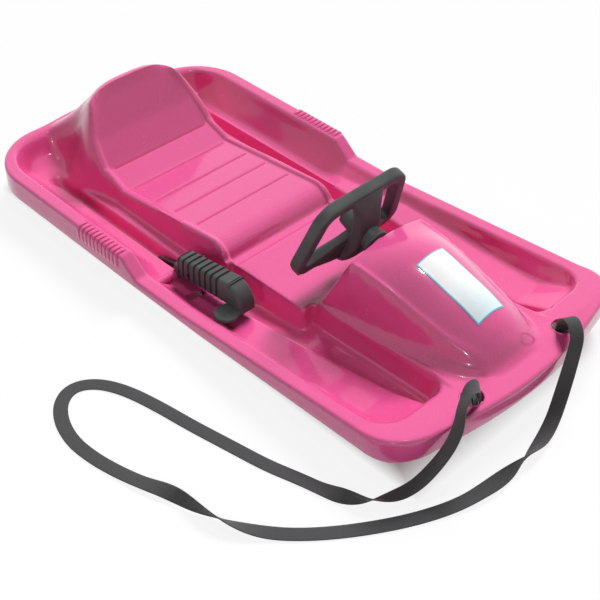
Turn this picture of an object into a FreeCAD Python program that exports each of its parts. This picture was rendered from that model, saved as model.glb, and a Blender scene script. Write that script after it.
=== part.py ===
import FreeCAD, Part
import math
import os
import re
from FreeCAD import Placement, Rotation, Vector

# A child's steering sled: a moulded shell with two foot troughs, a seat with a backrest, a cowl over
# the steering gear, a wheel that turns a skid under the nose, one hand brake and a tow strap.
# Frame: +X to the nose, +Y to the rider's left, +Z up, with the ground at zero.

# Every size in millimetres, angles in degrees. A text that starts with = is worked out from others.
SIZES = {
    # Shell outline and rim
    "sled_length": 895,
    "sled_width": 450,
    "half_length": "=sled_length / 2",
    "half_width": "=sled_width / 2",
    "wall": 3,
    "bow_setback": 50,
    "bow_radius": 600,
    "rear_corner_radius": 95,
    "front_corner_radius": 62,
    "rim_width": 19,
    "rim_inner": "=half_width - rim_width",
    "rim_height": 63,
    "dip_height": 38,
    "nose_height": 78,
    "grip_rear_x": -201,
    "grip_front_x": -102,
    "grip_rib_pitch": 10,
    "grip_groove": 2.4,
    "grip_groove_depth": 1.4,
    "dip_run": 31,
    "skirt_rear": 30,
    "skirt_middle": 24.5,
    "skirt_corner": 37,
    "skirt_nose": 53,
    # Foot troughs
    "ledge_height": 21,
    "trough_rear_x": -428,
    "trough_heel_x": -352,
    "trough_front_x": 376,
    "trough_foot": 172,
    "channel_outer": 154,
    "channel_inner": 135.6,
    "shelf_edge": 139,
    # Seat and backrest
    "seat_half": 108,
    "panel_half": 97,
    "panel_top_half": 58,
    "panel_depth": 4,
    "crease_x": -288,
    "crease_height": 54,
    "seat_low_x": -245,
    "seat_low": 39,
    "seat_front_x": -42,
    "seat_front": 60,
    "back_top_x": -360,
    "back_top": 152,
    "groove_width": 2,
    "groove_depth": 1.2,
    # Deck, tunnel and cowl
    "deck_height": 38.5,
    "deck_half": 100,
    "deck_front_x": 138,
    "tunnel_half_rear": 77,
    "tunnel_half_front": 92,
    "cowl_brow_x": 186,
    "cowl_brow_height": 148,
    "cowl_crest_x": 245,
    "cowl_crest": 158,
    "cowl_front_x": 410,
    # Steering wheel and column
    "wheel_x": 124,
    "wheel_height": 137,
    "wheel_tilt": 18,
    "wheel_top_reach": 64,
    "wheel_low_reach": 58,
    "wheel_top_half": 80,
    "wheel_low_half": 102,
    "wheel_rim": 17,
    "wheel_depth": 18,
    "wheel_spoke_half": 27,
    "wheel_edge_radius": 6,
    "wheel_hub_radius": 17,
    "wheel_hub_length": 48,
    "column_diameter": 10,
    "column_reach": 155,
    "crank_throw": 36,
    "crank_bend_radius": 12,
    "crank_ball_diameter": 14,
    "running_clearance": 0.05,
    "seat_clearance": 0.3,
    "bush_wall": 3,
    "bush_flange": 2,
    "bush_flange_rise": 4,
    "upper_bush_length": 14,
    "bush_radius": "=column_diameter / 2 + running_clearance + bush_wall",
    "upper_bush_reach": 48.6,
    "lower_bush_reach": 132,
    "clip_thickness": 1.6,
    "clip_rise": 2,
    # Bracket and skid
    "bracket_height": 70,
    "bracket_plate": 5,
    "bracket_half": 50,
    "bracket_ear": 6,
    "bracket_ear_rise": 8,
    "window_rear": 8,
    "window_length": 32,
    "window_edge": 4,
    "bracket_rear_x": 226,
    "bracket_front_x": 346,
    "bracket_top": "=bracket_height + bracket_plate",
    "bracket_screw_length": 19,
    "post_radius": 7,
    "post_rear_x": 236,
    "post_front_x": 334,
    "post_side": 40,
    "screw_radius": 2,
    "screw_head_radius": 4.5,
    "screw_head": 3,
    "screw_length": 18,
    "tiller_length": 52,
    "crank_x": "=wheel_x + column_reach * cos(wheel_tilt * 1deg) - crank_throw * sin(wheel_tilt * 1deg)",
    "crank_z": "=wheel_height - column_reach * sin(wheel_tilt * 1deg) - crank_throw * cos(wheel_tilt * 1deg)",
    "kingpin_x": "=crank_x + tiller_length",
    "kingpin_diameter": 10,
    "kingpin_head_radius": 9,
    "kingpin_head": 6,
    "kingpin_low": 14,
    "washer_radius": 10,
    "washer_thickness": 1.5,
    "nut_across": 16,
    "nut_height": 8,
    "nut_top": "=kingpin_low + nut_height",
    "hub_low": "=nut_top + washer_thickness + 2 * seat_clearance",
    "hub_top": "=bracket_height - washer_thickness - 2 * seat_clearance",
    "skid_hub_radius": 13,
    "skid_length": 164,
    "skid_half": 22,
    "skid_sole": 6,
    "skid_tip_rise": 26,
    "skid_web": 8,
    "fork_clearance": 0.8,
    "fork_cheek": 7,
    "fork_height": 14,
    # Brake
    "axle_x": -55,
    "axle_height": 28,
    "axle_diameter": 8,
    "axle_outer_y": -212.5,
    "axle_inner_y": -101,
    "brake_y": -158,
    "brake_hub_radius": 5.8,
    "brake_hub_half": 10,
    "brake_grip_half": 14,
    "brake_grip_height": 48,
    "brake_grip_front_x": 56,
    "brake_rib_pitch": 10,
    "brake_rib": 5,
    "brake_rib_proud": 1.5,
    "brake_foot_y": -182,
    "brake_foot_radius": 9,
    "brake_rest_height": 37.5,
    "brake_foot_x": 69,
    "brake_pad_radius": 16.5,
    "brake_pad_low": 40.2,
    "brake_pad": 7,
    "claw_y": -145,
    "claw_thickness": 4,
    "claw_length": 62,
    "claw_slot_rear": -122,
    "claw_slot_front": -38,
    "cap_radius": 6,
    "cap_thickness": 4,
    "axle_end": 0.5,
    "spacer_outer_y": -178,
    "spacer_inner_y": -116,
    "rivet_radius": 2.5,
    "rivet_rear": 12,
    "rivet_rear_rise": 14,
    "rivet_front": 32,
    "rivet_front_rise": 18,
    # Drain slot in the right shelf
    "drain_x": -5,
    "drain_y": -171,
    "drain_length": 14,
    "drain_width": 30,
    # Tow strap
    "strap_hole_x": 415,
    "strap_hole_y": 92,
    "strap_hole_radius": 15,
    "strap_width": 19,
    "strap_thickness": 2,
    "stop_length": 30,
    "stop_width": 14,
    "stop_height": 9,
    # Blank label on the cowl
    "label_rear_x": 262,
    "label_front_x": 368,
    "label_width": 51,
    "label_thickness": 0.4,
    "label_gap": 0.3,
}

document = FreeCAD.newDocument("steering_sled")
sheet = document.addObject("Spreadsheet::Sheet", "sizes")
for row, (alias, entry) in enumerate(SIZES.items(), 1):
    sheet.set(f"A{row}", alias)
    sheet.set(f"B{row}", str(entry))
    sheet.setAlias(f"B{row}", alias)
document.recompute()


def mm(alias):
    """The value of a named size."""
    return float(sheet.get(alias))


sub_parts = []


def sub_part(item, label):
    """Mark a document object as a piece of the sled under its label."""
    item.Label = label
    sub_parts.append(item)
    return item


def feature(label, shape):
    """A piece whose shape is worked out here from the sheet's sizes."""
    item = document.addObject("Part::Feature", label)
    item.Shape = shape
    return sub_part(item, label)


# Round bars and boxes bound to the sheet, placed along the column, the kingpin, the axle or straight up

def bound(text):
    """An expression over the sheet's sizes."""
    return re.sub(r"[a-z][a-z_]*[a-z]", lambda word: f"sizes.{word[0]}" if word[0] in SIZES else word[0], text)


COLUMN = ("wheel_x + ({0}) * cos(wheel_tilt * 1deg)", "0", "wheel_height - ({0}) * sin(wheel_tilt * 1deg)",
          Vector(0, 1, 0), "90 + wheel_tilt")
KINGPIN = ("kingpin_x", "0", "{0}", Vector(0, 0, 1), "0")
AXLE_LINE = ("axle_x", "{0}", "axle_height", Vector(1, 0, 0), "-90")


def upright(x, y):
    """A line straight up at one place."""
    return (x, y, "{0}", Vector(0, 0, 1), "0")


def set_place(item, line, at):
    """Bind an object's place to a line and a distance along it."""
    item.Placement = Placement(Vector(), Rotation(line[3], 10))
    for letter, text in zip("xyz", line):
        item.setExpression(f"Placement.Base.{letter}", bound(text.format(at)))
    item.setExpression("Placement.Rotation.Angle", bound(line[4]))
    return item


def bar(line, low, high, radius):
    """A round bar along a line, from one distance to another."""
    item = document.addObject("Part::Cylinder", "bar")
    item.setExpression("Radius", bound(radius))
    item.setExpression("Height", bound(f"({high}) - ({low})"))
    return set_place(item, line, low)


def block(x, y, z, length, width, height):
    """A box by its lowest corner and its three sizes."""
    item = document.addObject("Part::Box", "block")
    for name, text in (("Length", length), ("Width", width), ("Height", height)):
        item.setExpression(name, bound(text))
    return set_place(item, upright(x, y), z)


def less(base, tool):
    """One object with another taken out of it."""
    item = document.addObject("Part::Cut", "cut")
    item.Base = base
    item.Tool = tool
    return item


def united(items):
    """Several objects that overlap as one."""
    item = document.addObject("Part::MultiFuse", "union")
    item.Shapes = items
    return item


def grouped(items):
    """Several separate objects kept together as one piece."""
    item = document.addObject("Part::Compound", "group")
    item.Links = items
    return item


# Shapes that several pieces use

def rounded_wire(corners, closed=True):
    """Straight runs joined by tangent arcs: corners are points with a radius each."""
    points = [corner[0] for corner in corners]
    count = len(points)
    starts, ends, middles = [], [], []
    for i, (point, radius) in enumerate(corners):
        if radius == 0 or (not closed and i in (0, count - 1)):
            starts.append(point)
            ends.append(point)
            middles.append(None)
            continue
        back = (points[i - 1] - point).normalize()
        ahead = (points[(i + 1) % count] - point).normalize()
        half_turn = (math.pi - back.getAngle(ahead)) / 2
        bisector = (back + ahead).normalize()
        starts.append(point + back * (radius * math.tan(half_turn)))
        ends.append(point + ahead * (radius * math.tan(half_turn)))
        middles.append(point + bisector * (radius / math.cos(half_turn) - radius))
    edges = []
    for i in range(count):
        if middles[i] is not None:
            edges.append(Part.Arc(starts[i], middles[i], ends[i]).toShape())
        follower = (i + 1) % count
        last = not closed and i == count - 1
        if not last and (starts[follower] - ends[i]).Length > 1e-4:
            edges.append(Part.LineSegment(ends[i], starts[follower]).toShape())
    return Part.Wire(edges)


def polygon(points):
    """A closed wire of straight runs."""
    return Part.makePolygon(list(points) + [points[0]])


def side_slab(profile, half):
    """A solid with a side profile of (x, z, radius) corners, as wide as half each side of the middle."""
    wire = rounded_wire([(Vector(x, -half, z), radius) for x, z, radius in profile])
    return Part.Face(wire).extrude(Vector(0, 2 * half, 0))


def wedge(low, high, z_low, z_high):
    """A solid between a plan of (x, half width) pairs at one height and a like plan at another."""
    wires = []
    for plan, z in ((low, z_low), (high, z_high)):
        right = [Vector(x, -half, z) for x, half in plan]
        left = [Vector(x, half, z) for x, half in reversed(plan)]
        wires.append(polygon(right + left))
    return Part.makeLoft(wires, True, True)


def rod(start, end, radius):
    """A round bar between two points."""
    return Part.makeCylinder(radius, (end - start).Length, start, end - start)


# The shell: the same moulding is made twice, the second one a wall further in, and subtracted
FLOOR_BELOW = -20
REACH = 600


def plan_outline(inset):
    """The sled's outline from above: a straight rear, straight sides, a bowed nose and round corners."""
    slant = math.atan2(mm("bow_setback"), mm("half_width"))
    vertex = mm("half_length") + mm("bow_radius") * (1 / math.cos(slant) - 1)
    corner = vertex - mm("bow_setback")
    side = mm("half_width")
    rear, front, bow = mm("rear_corner_radius"), mm("front_corner_radius"), mm("bow_radius")
    wire = rounded_wire([
        (Vector(-mm("half_length"), -side, 0), rear), (Vector(corner, -side, 0), front), (Vector(vertex, 0, 0), bow),
        (Vector(corner, side, 0), front), (Vector(-mm("half_length"), side, 0), rear)])
    return Part.Face(wire) if inset == 0 else Part.Face(wire).makeOffset2D(-inset)


def sheer_corners():
    """The rim's top line from the side: high along the grips, a dip beside the brake, rising to the nose."""
    drop = mm("grip_front_x") + mm("dip_run")
    return [
        (-REACH, mm("rim_height"), 0), (mm("grip_front_x"), mm("rim_height"), 16), (drop, mm("dip_height"), 16),
        (20, mm("dip_height") + 1, 200), (350, mm("nose_height") - 11, 300), (412, mm("nose_height"), 120),
        (REACH, mm("nose_height") + 0.5, 0)]


def sheer_height(x):
    """The rim's top line at one place, by its straight runs."""
    corners = sheer_corners()
    for (x0, z0, _), (x1, z1, _) in zip(corners, corners[1:]):
        if x0 <= x <= x1:
            return z0 + (z1 - z0) * (x - x0) / (x1 - x0)


def rim_block(inset, bottom):
    """Everything inside the outline and under the rim's top line."""
    profile = [(-REACH, bottom, 0)] + [(x, z - inset, r) for x, z, r in sheer_corners()] + [(REACH, bottom, 0)]
    outline = plan_outline(inset)
    outline.translate(Vector(0, 0, bottom))
    return outline.extrude(Vector(0, 0, REACH)).common(side_slab(profile, REACH))


def trough_stations():
    """Cross sections of both troughs: x, foot and its height, shelf edge and its height, channel's inner
    side, channel bottom and inner ledge height."""
    foot, edge, shelf = mm("trough_foot"), mm("channel_outer"), mm("shelf_edge")
    inner, ledge, keel = mm("channel_inner"), mm("ledge_height"), mm("wall")
    rear, heel, front = mm("trough_rear_x"), mm("trough_heel_x"), mm("trough_front_x")
    drop = mm("grip_front_x") + mm("dip_run")
    top, tip = mm("rim_height") + 0.2, sheer_height(front) + 0.4
    return [
        (rear, foot + 18, top, edge, top, inner, top, top),
        (heel, foot, ledge, edge, ledge, inner, ledge - 0.5, ledge),
        (heel + 18, foot, ledge, edge, ledge, inner, keel, ledge),
        (mm("grip_front_x"), foot, ledge, edge, ledge, inner, keel, ledge),
        (drop, foot + 8, ledge, edge, ledge, inner, keel, ledge),
        (20, foot + 18, ledge + 5, edge - 8, ledge + 3, inner - 16, keel, keel + 9),
        (66, foot + 20, ledge + 15, shelf, ledge + 12, inner - 36, keel, keel + 1),
        (254, foot + 22, ledge + 29, shelf, ledge + 24, inner - 36, keel + 19, keel + 20),
        (339, foot + 24, ledge + 40, shelf + 2, ledge + 36, inner - 32, keel + 42, keel + 43),
        (front, foot + 28, tip, shelf + 3, tip, inner - 28, tip, tip)]


CHANNEL_LIP = 3


def troughs(inset):
    """The space inside the rim, down to the ledges, the runner channels and the foot shelves."""
    wires = []
    for x, foot, foot_z, edge, edge_z, inner, channel_z, inner_z in trough_stations():
        half = [
            (mm("rim_inner") + inset, 220), (mm("rim_inner") + inset, sheer_height(x) - inset),
            (foot + inset, foot_z - inset), (edge + inset, edge_z - inset),
            (edge - CHANNEL_LIP + inset, channel_z - inset), (inner + CHANNEL_LIP - inset, channel_z - inset),
            (inner - inset, inner_z - inset)]
        left = [Vector(x, y, z) for y, z in half]
        right = [Vector(x, -y, z) for y, z in reversed(half)]
        wires.append(polygon(left + right))
    space = Part.makeLoft(wires, True, True)
    side = mm("rim_inner") + inset
    rear, front = mm("trough_rear_x") - 2 - inset, mm("trough_front_x") + 2 + inset
    rear_round = mm("rear_corner_radius") - mm("rim_width") + inset
    front_round = mm("front_corner_radius") - mm("rim_width") + inset
    plan = rounded_wire([
        (Vector(rear, -side, -REACH), rear_round), (Vector(front, -side, -REACH), front_round),
        (Vector(front, side, -REACH), front_round), (Vector(rear, side, -REACH), rear_round)])
    return space.common(Part.Face(plan).extrude(Vector(0, 0, 2 * REACH)))


STEEP = 0.6


def panel_profile(lift, back=0):
    """The seat's side line: concave backrest, crease, rising seat and the roll down to the deck."""
    return [
        (mm("back_top_x") + 8 - back, mm("back_top") - 6 + lift, 0),
        (mm("crease_x") - 30 - back, mm("crease_height") + 38 + lift, 60),
        (mm("crease_x"), mm("crease_height") + lift, 10),
        (mm("seat_low_x"), mm("seat_low") + lift, 60),
        (mm("seat_front_x"), mm("seat_front") + lift, 14),
        (mm("seat_front_x") + 28, mm("deck_height") - 1 + lift, 10)]


def seat_block(inset, bottom):
    """The seat between the troughs, up to the raised border along its sides."""
    lift = mm("panel_depth") - inset
    start, end = mm("crease_x") - 45 + inset, mm("seat_front_x") + 36 - inset
    line = panel_profile(lift)[2:]
    profile = [(start, bottom, 0), (start, mm("crease_height") + lift, 0)] + line
    profile += [(end, mm("deck_height") - 1 + lift, 0), (end, bottom, 0)]
    top = mm("seat_half") - inset
    plan = wedge([(start, top + 14), (end, top + 14)], [(start, top - 4), (end, top - 4)], bottom, 80)
    return plan.common(side_slab(profile, REACH))


def seat_panel(inset):
    """The shallow recess of the seat and backrest panels, inside their raised border."""
    line = panel_profile(-inset, STEEP * inset)
    end = mm("seat_front_x") + 44
    profile = [(line[0][0], 260, 0)] + line + [(end, line[-1][1], 0), (end, 260, 0)]
    above = side_slab(profile, REACH)
    half, top_half = mm("panel_half") + inset, mm("panel_top_half") + inset
    plan = [(line[0][0] - 2, top_half), (mm("crease_x"), half), (end, half)]
    return above.common(wedge(plan, plan, 0, 260))


def rounded_section(x, half, bottom, top, power):
    """A hump's cross section: a superellipse on a flat base."""
    turns = [math.pi * i / 16 for i in range(17)]
    points = []
    for turn in turns:
        across, up = math.cos(turn), math.sin(turn)
        side = math.copysign(abs(across) ** (2 / power), across)
        points.append(Vector(x, half * side, bottom + (top - bottom) * abs(up) ** (2 / power)))
    curve = Part.BSplineCurve()
    curve.interpolate(points)
    return Part.Wire([curve.toShape(), Part.LineSegment(points[-1], points[0]).toShape()])


def back_block(inset, bottom):
    """The backrest: a hump that runs from the rear rim over its crest to the seat's crease."""
    crest_x, crest, crease = mm("back_top_x"), mm("back_top"), mm("crease_x")
    low = mm("crease_height") + mm("panel_depth")
    rear = -mm("half_length") - 4
    steep = STEEP * inset
    stations = [
        (rear, 84, mm("rim_height") - 4, 2.6), (rear + 24 + steep, 92, mm("rim_height") + 17, 2.6),
        (crest_x - 44 + steep, 100, crest - 42, 2.8), (crest_x - 14, 110, crest - 5, 3), (crest_x, 112, crest, 3),
        (crest_x + 12, 113, crest - 1, 3.2)]
    front = [stations[-1], (crest_x + 40 - steep, 118, low + 52, 5), (crease + 4 - steep, 117, low - 3, 12)]
    lofts = []
    for group, straight in ((stations, False), (front, True)):
        wires = [rounded_section(x, half - inset, bottom, top - inset, power) for x, half, top, power in group]
        lofts.append(Part.makeLoft(wires, True, straight))
    outline = plan_outline(inset)
    outline.translate(Vector(0, 0, -REACH))
    return lofts[0].fuse(lofts[1]).common(outline.extrude(Vector(0, 0, 2 * REACH)))


def deck_block(inset, bottom):
    """The flat deck in front of the seat, which ends in a step beside the wheel."""
    start, end = mm("seat_front_x") + inset, mm("deck_front_x") - inset
    half = mm("deck_half") - inset
    plan = wedge([(start, half + 8), (end, half + 8)], [(start, half), (end, half)], bottom, mm("deck_height") + 10)
    rise = [(start, bottom, 0), (start, mm("deck_height") - inset, 0),
            (REACH, mm("deck_height") + 10 - inset, 0), (REACH, bottom, 0)]
    return plan.common(side_slab(rise, REACH))


def tunnel_block(inset, bottom):
    """The ledge under the cowl, widening and rising to the nose."""
    start, end = mm("deck_front_x") - 30 + inset, mm("trough_front_x") + 10 - inset
    rear, front = mm("tunnel_half_rear") - inset, mm("tunnel_half_front") - inset
    plan = wedge([(start, rear + 9), (350, front + 9), (end, front + 12)],
                 [(start, rear), (350, front), (end, front + 3)], bottom, 76)
    rise = [(start, bottom, 0), (start, mm("deck_height") - 1 - inset, 0),
            (350, mm("nose_height") - 3 - inset, 0), (end, mm("nose_height") - 3 - inset, 0), (end, bottom, 0)]
    return plan.common(side_slab(rise, REACH))


def cowl_section(x, base, ridge, ridge_z, crown_z, bottom):
    """A cowl cross section: flat base, leaning sides and a crowned top between two ridges."""
    corners = [Vector(x, -base, bottom), Vector(x, -ridge, ridge_z), Vector(x, ridge, ridge_z), Vector(x, base, bottom)]
    top = Part.Arc(corners[1], Vector(x, 0, crown_z), corners[2]).toShape()
    sides = [Part.LineSegment(corners[0], corners[1]).toShape(), top,
             Part.LineSegment(corners[2], corners[3]).toShape(), Part.LineSegment(corners[3], corners[0]).toShape()]
    return Part.Wire(sides)


def cowl_block(inset, bottom):
    """The cowl: a steep ramp behind, a crowned bonnet falling to the nose in front."""
    start, brow, crest = mm("deck_front_x"), mm("cowl_brow_x"), mm("cowl_crest_x")
    brow_z, crest_z, front = mm("cowl_brow_height"), mm("cowl_crest"), mm("cowl_front_x")
    deck, nose = mm("deck_height"), mm("nose_height")
    rear_half, front_half = mm("tunnel_half_rear"), mm("tunnel_half_front")
    bonnet = [
        (brow + inset * 0.5, rear_half + 3, rear_half - 6, brow_z - 13, brow_z),
        (crest, rear_half + 7, rear_half - 7, crest_z - 34, crest_z),
        (crest + 60, front_half - 4, rear_half - 10, crest_z - 49, crest_z - 13),
        (crest + 112, front_half - 4, rear_half - 16, nose + 18, nose + 50),
        (front - 20, front_half - 18, rear_half - 28, nose + 9, nose + 30),
        (front - inset, front_half - 40, rear_half - 42, nose + 1, nose + 5)]
    wires = [cowl_section(x, base - inset, ridge - inset, low - inset, top - inset, bottom)
             for x, base, ridge, low, top in bonnet]
    ramp = [cowl_section(start + inset, rear_half - 2 - inset, rear_half - 3 - inset, deck + 2 - inset, deck + 3 - inset,
                         bottom), wires[0]]
    return Part.makeLoft(wires, True, False).fuse(Part.makeLoft(ramp, True, True))


def mouldings(inset):
    """The solids that make up the whole form, drawn in from its outer faces, and the seat's recess."""
    bottom = FLOOR_BELOW - 4 * inset
    panel = seat_panel(inset)
    return [
        rim_block(inset, bottom).cut(troughs(inset)), back_block(inset, bottom).cut(panel),
        seat_block(inset, bottom).cut(panel), deck_block(inset, bottom).cut(panel), tunnel_block(inset, bottom),
        cowl_block(inset, bottom)]


def joined(solids):
    """One solid from several that overlap."""
    whole = solids[0]
    for solid in solids[1:]:
        whole = whole.fuse(solid)
    return whole


def skirt_waste():
    """What is trimmed off the outer skirt below its lower edge."""
    ring = plan_outline(-2)
    ring.translate(Vector(0, 0, -REACH))
    core = plan_outline(mm("wall") + 1.5)
    core.translate(Vector(0, 0, -REACH))
    up = Vector(0, 0, 2 * REACH)
    profile = [
        (-REACH, -REACH, 0), (-REACH, mm("skirt_rear"), 0), (-84, mm("skirt_middle"), 200),
        (65, mm("skirt_middle") + 0.5, 200), (391, mm("skirt_corner"), 40),
        (mm("half_length"), mm("skirt_nose"), 0), (REACH, mm("skirt_nose") + 40, 0), (REACH, -REACH, 0)]
    return ring.extrude(up).cut(core.extrude(up)).common(side_slab(profile, REACH))


def grip_grooves():
    """Grooves across the rim that leave the ribs of the two hand grips."""
    skin = rim_block(0, FLOOR_BELOW).cut(rim_block(mm("grip_groove_depth"), FLOOR_BELOW - 9))
    span = mm("grip_front_x") - mm("grip_rear_x")
    cutters = []
    for i in range(int(span / mm("grip_rib_pitch")) + 1):
        x = mm("grip_rear_x") + i * mm("grip_rib_pitch")
        for side in (-1, 1):
            cutter = Part.makeBox(mm("grip_groove"), mm("rim_width") + 6, 90, Vector(x, 0, 0))
            cutter.translate(Vector(0, mm("rim_inner") if side > 0 else -mm("half_width") - 6, 0))
            cutters.append(cutter)
    return skin.common(Part.makeCompound(cutters))


def seat_grooves():
    """The cross lines pressed into the seat."""
    slope = (mm("seat_front") - mm("seat_low")) / (mm("seat_front_x") - mm("seat_low_x"))
    lines = []
    for step in (0.02, 0.28, 0.5, 0.75):
        x = mm("seat_low_x") + step * (mm("seat_front_x") - mm("seat_low_x"))
        z = mm("seat_low") + slope * (x - mm("seat_low_x"))
        half = mm("panel_half") - 5
        lines.append(Part.makeBox(mm("groove_width"), 2 * half, 12, Vector(x, -half, z - mm("groove_depth"))))
    return lines


# Places on the steering column: along it from the wheel's centre, down from it, and to the side
TILT = math.radians(mm("wheel_tilt"))
COLUMN_AXIS = Vector(math.cos(TILT), 0, -math.sin(TILT))
COLUMN_DOWN = Vector(-math.sin(TILT), 0, -math.cos(TILT))
WHEEL_CENTRE = Vector(mm("wheel_x"), 0, mm("wheel_height"))


def on_column(reach, drop=0, side=0):
    """A point by its distance along the column, below it and to the left of it."""
    return WHEEL_CENTRE + COLUMN_AXIS * reach + COLUMN_DOWN * drop + Vector(0, side, 0)


CRANK_BALL = Vector(mm("crank_x"), 0, mm("crank_z"))
KINGPIN_X = mm("kingpin_x")
POSTS = [(mm(x), side * mm("post_side")) for x in ("post_rear_x", "post_front_x") for side in (-1, 1)]
PLATE_TOP = mm("bracket_top")
BUSH_RADIUS = mm("bush_radius")


def hull_shape():
    """The moulded shell with its holes, grooves and the screw posts under the cowl."""
    outer = mouldings(0)
    inner = mouldings(mm("wall"))
    form = joined(outer)
    shell = form
    for solid in inner:
        shell = shell.cut(solid)
    posts = []
    for x, y in POSTS:
        post = Part.makeCylinder(mm("post_radius"), 200, Vector(x, y, PLATE_TOP))
        posts.append(post.common(outer[-1]))
    shell = shell.fuse(posts)
    cuts = [skirt_waste(), grip_grooves()] + seat_grooves()
    hole_depth = 60
    for x, y in POSTS:
        cuts.append(Part.makeCylinder(mm("screw_radius"), mm("screw_length"), Vector(x, y, PLATE_TOP - 1)))
    for side in (-1, 1):
        centre = Vector(mm("strap_hole_x"), side * mm("strap_hole_y"), mm("nose_height") - hole_depth / 2)
        cuts.append(Part.makeCylinder(mm("strap_hole_radius"), hole_depth, centre))
    cuts.append(rod(on_column(30), on_column(75), BUSH_RADIUS + mm("running_clearance")))
    axle = [Vector(mm("axle_x"), mm(end), mm("axle_height")) for end in ("axle_outer_y", "axle_inner_y")]
    cuts.append(rod(axle[0], axle[1], mm("axle_diameter") / 2 + mm("running_clearance")))
    slot_length = mm("claw_slot_front") - mm("claw_slot_rear")
    slot_half = mm("claw_thickness") / 2 + 1.5
    cuts.append(Part.makeBox(slot_length, 2 * slot_half, 12,
                             Vector(mm("claw_slot_rear"), mm("claw_y") - slot_half, -4)))
    cuts.append(Part.makeBox(mm("drain_length"), mm("drain_width"), 30,
                             Vector(mm("drain_x") - mm("drain_length") / 2, mm("drain_y") - mm("drain_width") / 2, 10)))
    for cut in cuts:
        shell = shell.cut(cut)
    return shell


feature("hull", hull_shape())


# The blank label, bent over the cowl's crown

def label_shape():
    """A thin plate between the cowl's face and the same face a little further out."""
    gap = mm("label_gap")
    plate = cowl_block(-gap - mm("label_thickness"), FLOOR_BELOW).cut(cowl_block(-gap, FLOOR_BELOW - 2))
    size = Vector(mm("label_front_x") - mm("label_rear_x"), mm("label_width"), 200)
    corner = Vector(mm("label_rear_x"), -mm("label_width") / 2, mm("nose_height") + 20)
    return plate.common(Part.makeBox(size.x, size.y, size.z, corner))


feature("blank_label", label_shape())


# Steering wheel, column and crank

def wheel_face(corners, reach):
    """A flat face square to the column, with corners given to the left, up and as a radius."""
    return Part.Face(rounded_wire([(on_column(reach, -up, side), radius) for side, up, radius in corners]))


def wheel_shape():
    """A rounded ring, wider below than above, with a spoke panel and a long hub on the column."""
    half_depth = mm("wheel_depth") / 2
    top, low = mm("wheel_top_reach"), mm("wheel_low_reach")
    top_half, low_half, rim = mm("wheel_top_half"), mm("wheel_low_half"), mm("wheel_rim")
    spoke = mm("wheel_spoke_half")
    ring = wheel_face([(top_half, top, 34), (low_half, -low, 30), (-low_half, -low, 30), (-top_half, top, 34)],
                      -half_depth)
    body = ring.extrude(COLUMN_AXIS * (2 * half_depth))
    for side in (-1, 1):
        gap = wheel_face([(side * spoke, top - rim, 8), (side * (top_half - rim), top - rim, 17),
                          (side * (low_half - rim - 4), rim - low, 14), (side * (spoke + 4), rim - low, 8)],
                         -half_depth)
        body = body.cut(gap.extrude(COLUMN_AXIS * (2 * half_depth)))
    rims = [edge for edge in body.Edges
            if abs((edge.valueAt(edge.LastParameter) - edge.valueAt(edge.FirstParameter)).dot(COLUMN_AXIS)) < 1]
    body = body.makeFillet(mm("wheel_edge_radius"), rims)
    hub = rod(on_column(-half_depth - 3), on_column(mm("wheel_hub_length")), mm("wheel_hub_radius"))
    bore = rod(on_column(-2), on_column(mm("wheel_hub_length") + 1), mm("column_diameter") / 2)
    screw = rod(on_column(-half_depth - 4), on_column(-2), mm("screw_radius") + mm("running_clearance"))
    recess = rod(on_column(-half_depth - 4), on_column(-half_depth), mm("screw_head_radius") + 1)
    return body.fuse(hub).cut(bore).cut(screw).cut(recess)


def column_shape():
    """The steel rod: straight through both bushes, then bent down into a crank."""
    path = rounded_wire([
        (on_column(-2), 0), (on_column(mm("column_reach")), mm("crank_bend_radius")),
        (on_column(mm("column_reach"), mm("crank_throw") + 2), 0)], closed=False)
    ring = Part.Wire(Part.makeCircle(mm("column_diameter") / 2, on_column(-2), COLUMN_AXIS))
    rod_solid = path.makePipeShell([ring], True, False)
    return rod_solid.cut(rod(on_column(-3), on_column(14), mm("screw_radius") + mm("running_clearance")))


feature("steering_wheel", wheel_shape())
column = feature("steering_column", column_shape())
sub_part(united([
    bar(COLUMN, "-wheel_depth / 2 - screw_head", "-wheel_depth / 2", "screw_head_radius"),
    bar(COLUMN, "-wheel_depth / 2", "screw_length - wheel_depth / 2", "screw_radius")]), "wheel_screw")
COLUMN_BORE = "column_diameter / 2 + running_clearance"
upper_end = "upper_bush_reach + upper_bush_length"
sub_part(less(united([
    bar(COLUMN, "upper_bush_reach", upper_end, "bush_radius"),
    bar(COLUMN, "upper_bush_reach", "upper_bush_reach + bush_flange", "bush_radius + bush_flange_rise")]),
    bar(COLUMN, "upper_bush_reach - 1", upper_end + " + 1", COLUMN_BORE)), "upper_column_bush")
ear_end = "lower_bush_reach + bracket_ear"
lower_end = ear_end + " + bush_flange"
sub_part(less(united([
    bar(COLUMN, "lower_bush_reach - 1", lower_end, "bush_radius"),
    bar(COLUMN, ear_end, lower_end, "bush_radius + bush_flange_rise")]),
    bar(COLUMN, "lower_bush_reach - 2", lower_end + " + 1", COLUMN_BORE)), "lower_column_bush")
clip_start = lower_end + " + seat_clearance"
sub_part(less(
    bar(COLUMN, clip_start, clip_start + " + clip_thickness", "bush_radius + clip_rise"),
    bar(COLUMN, clip_start + " - 1", clip_start + " + clip_thickness + 1", "column_diameter / 2")), "column_clip")
ball = document.addObject("Part::Sphere", "ball")
ball.setExpression("Radius", bound("crank_ball_diameter / 2"))
set_place(ball, upright("crank_x", "0"), "crank_z")
sub_part(less(ball, column), "crank_ball")


# Bracket under the cowl

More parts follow.
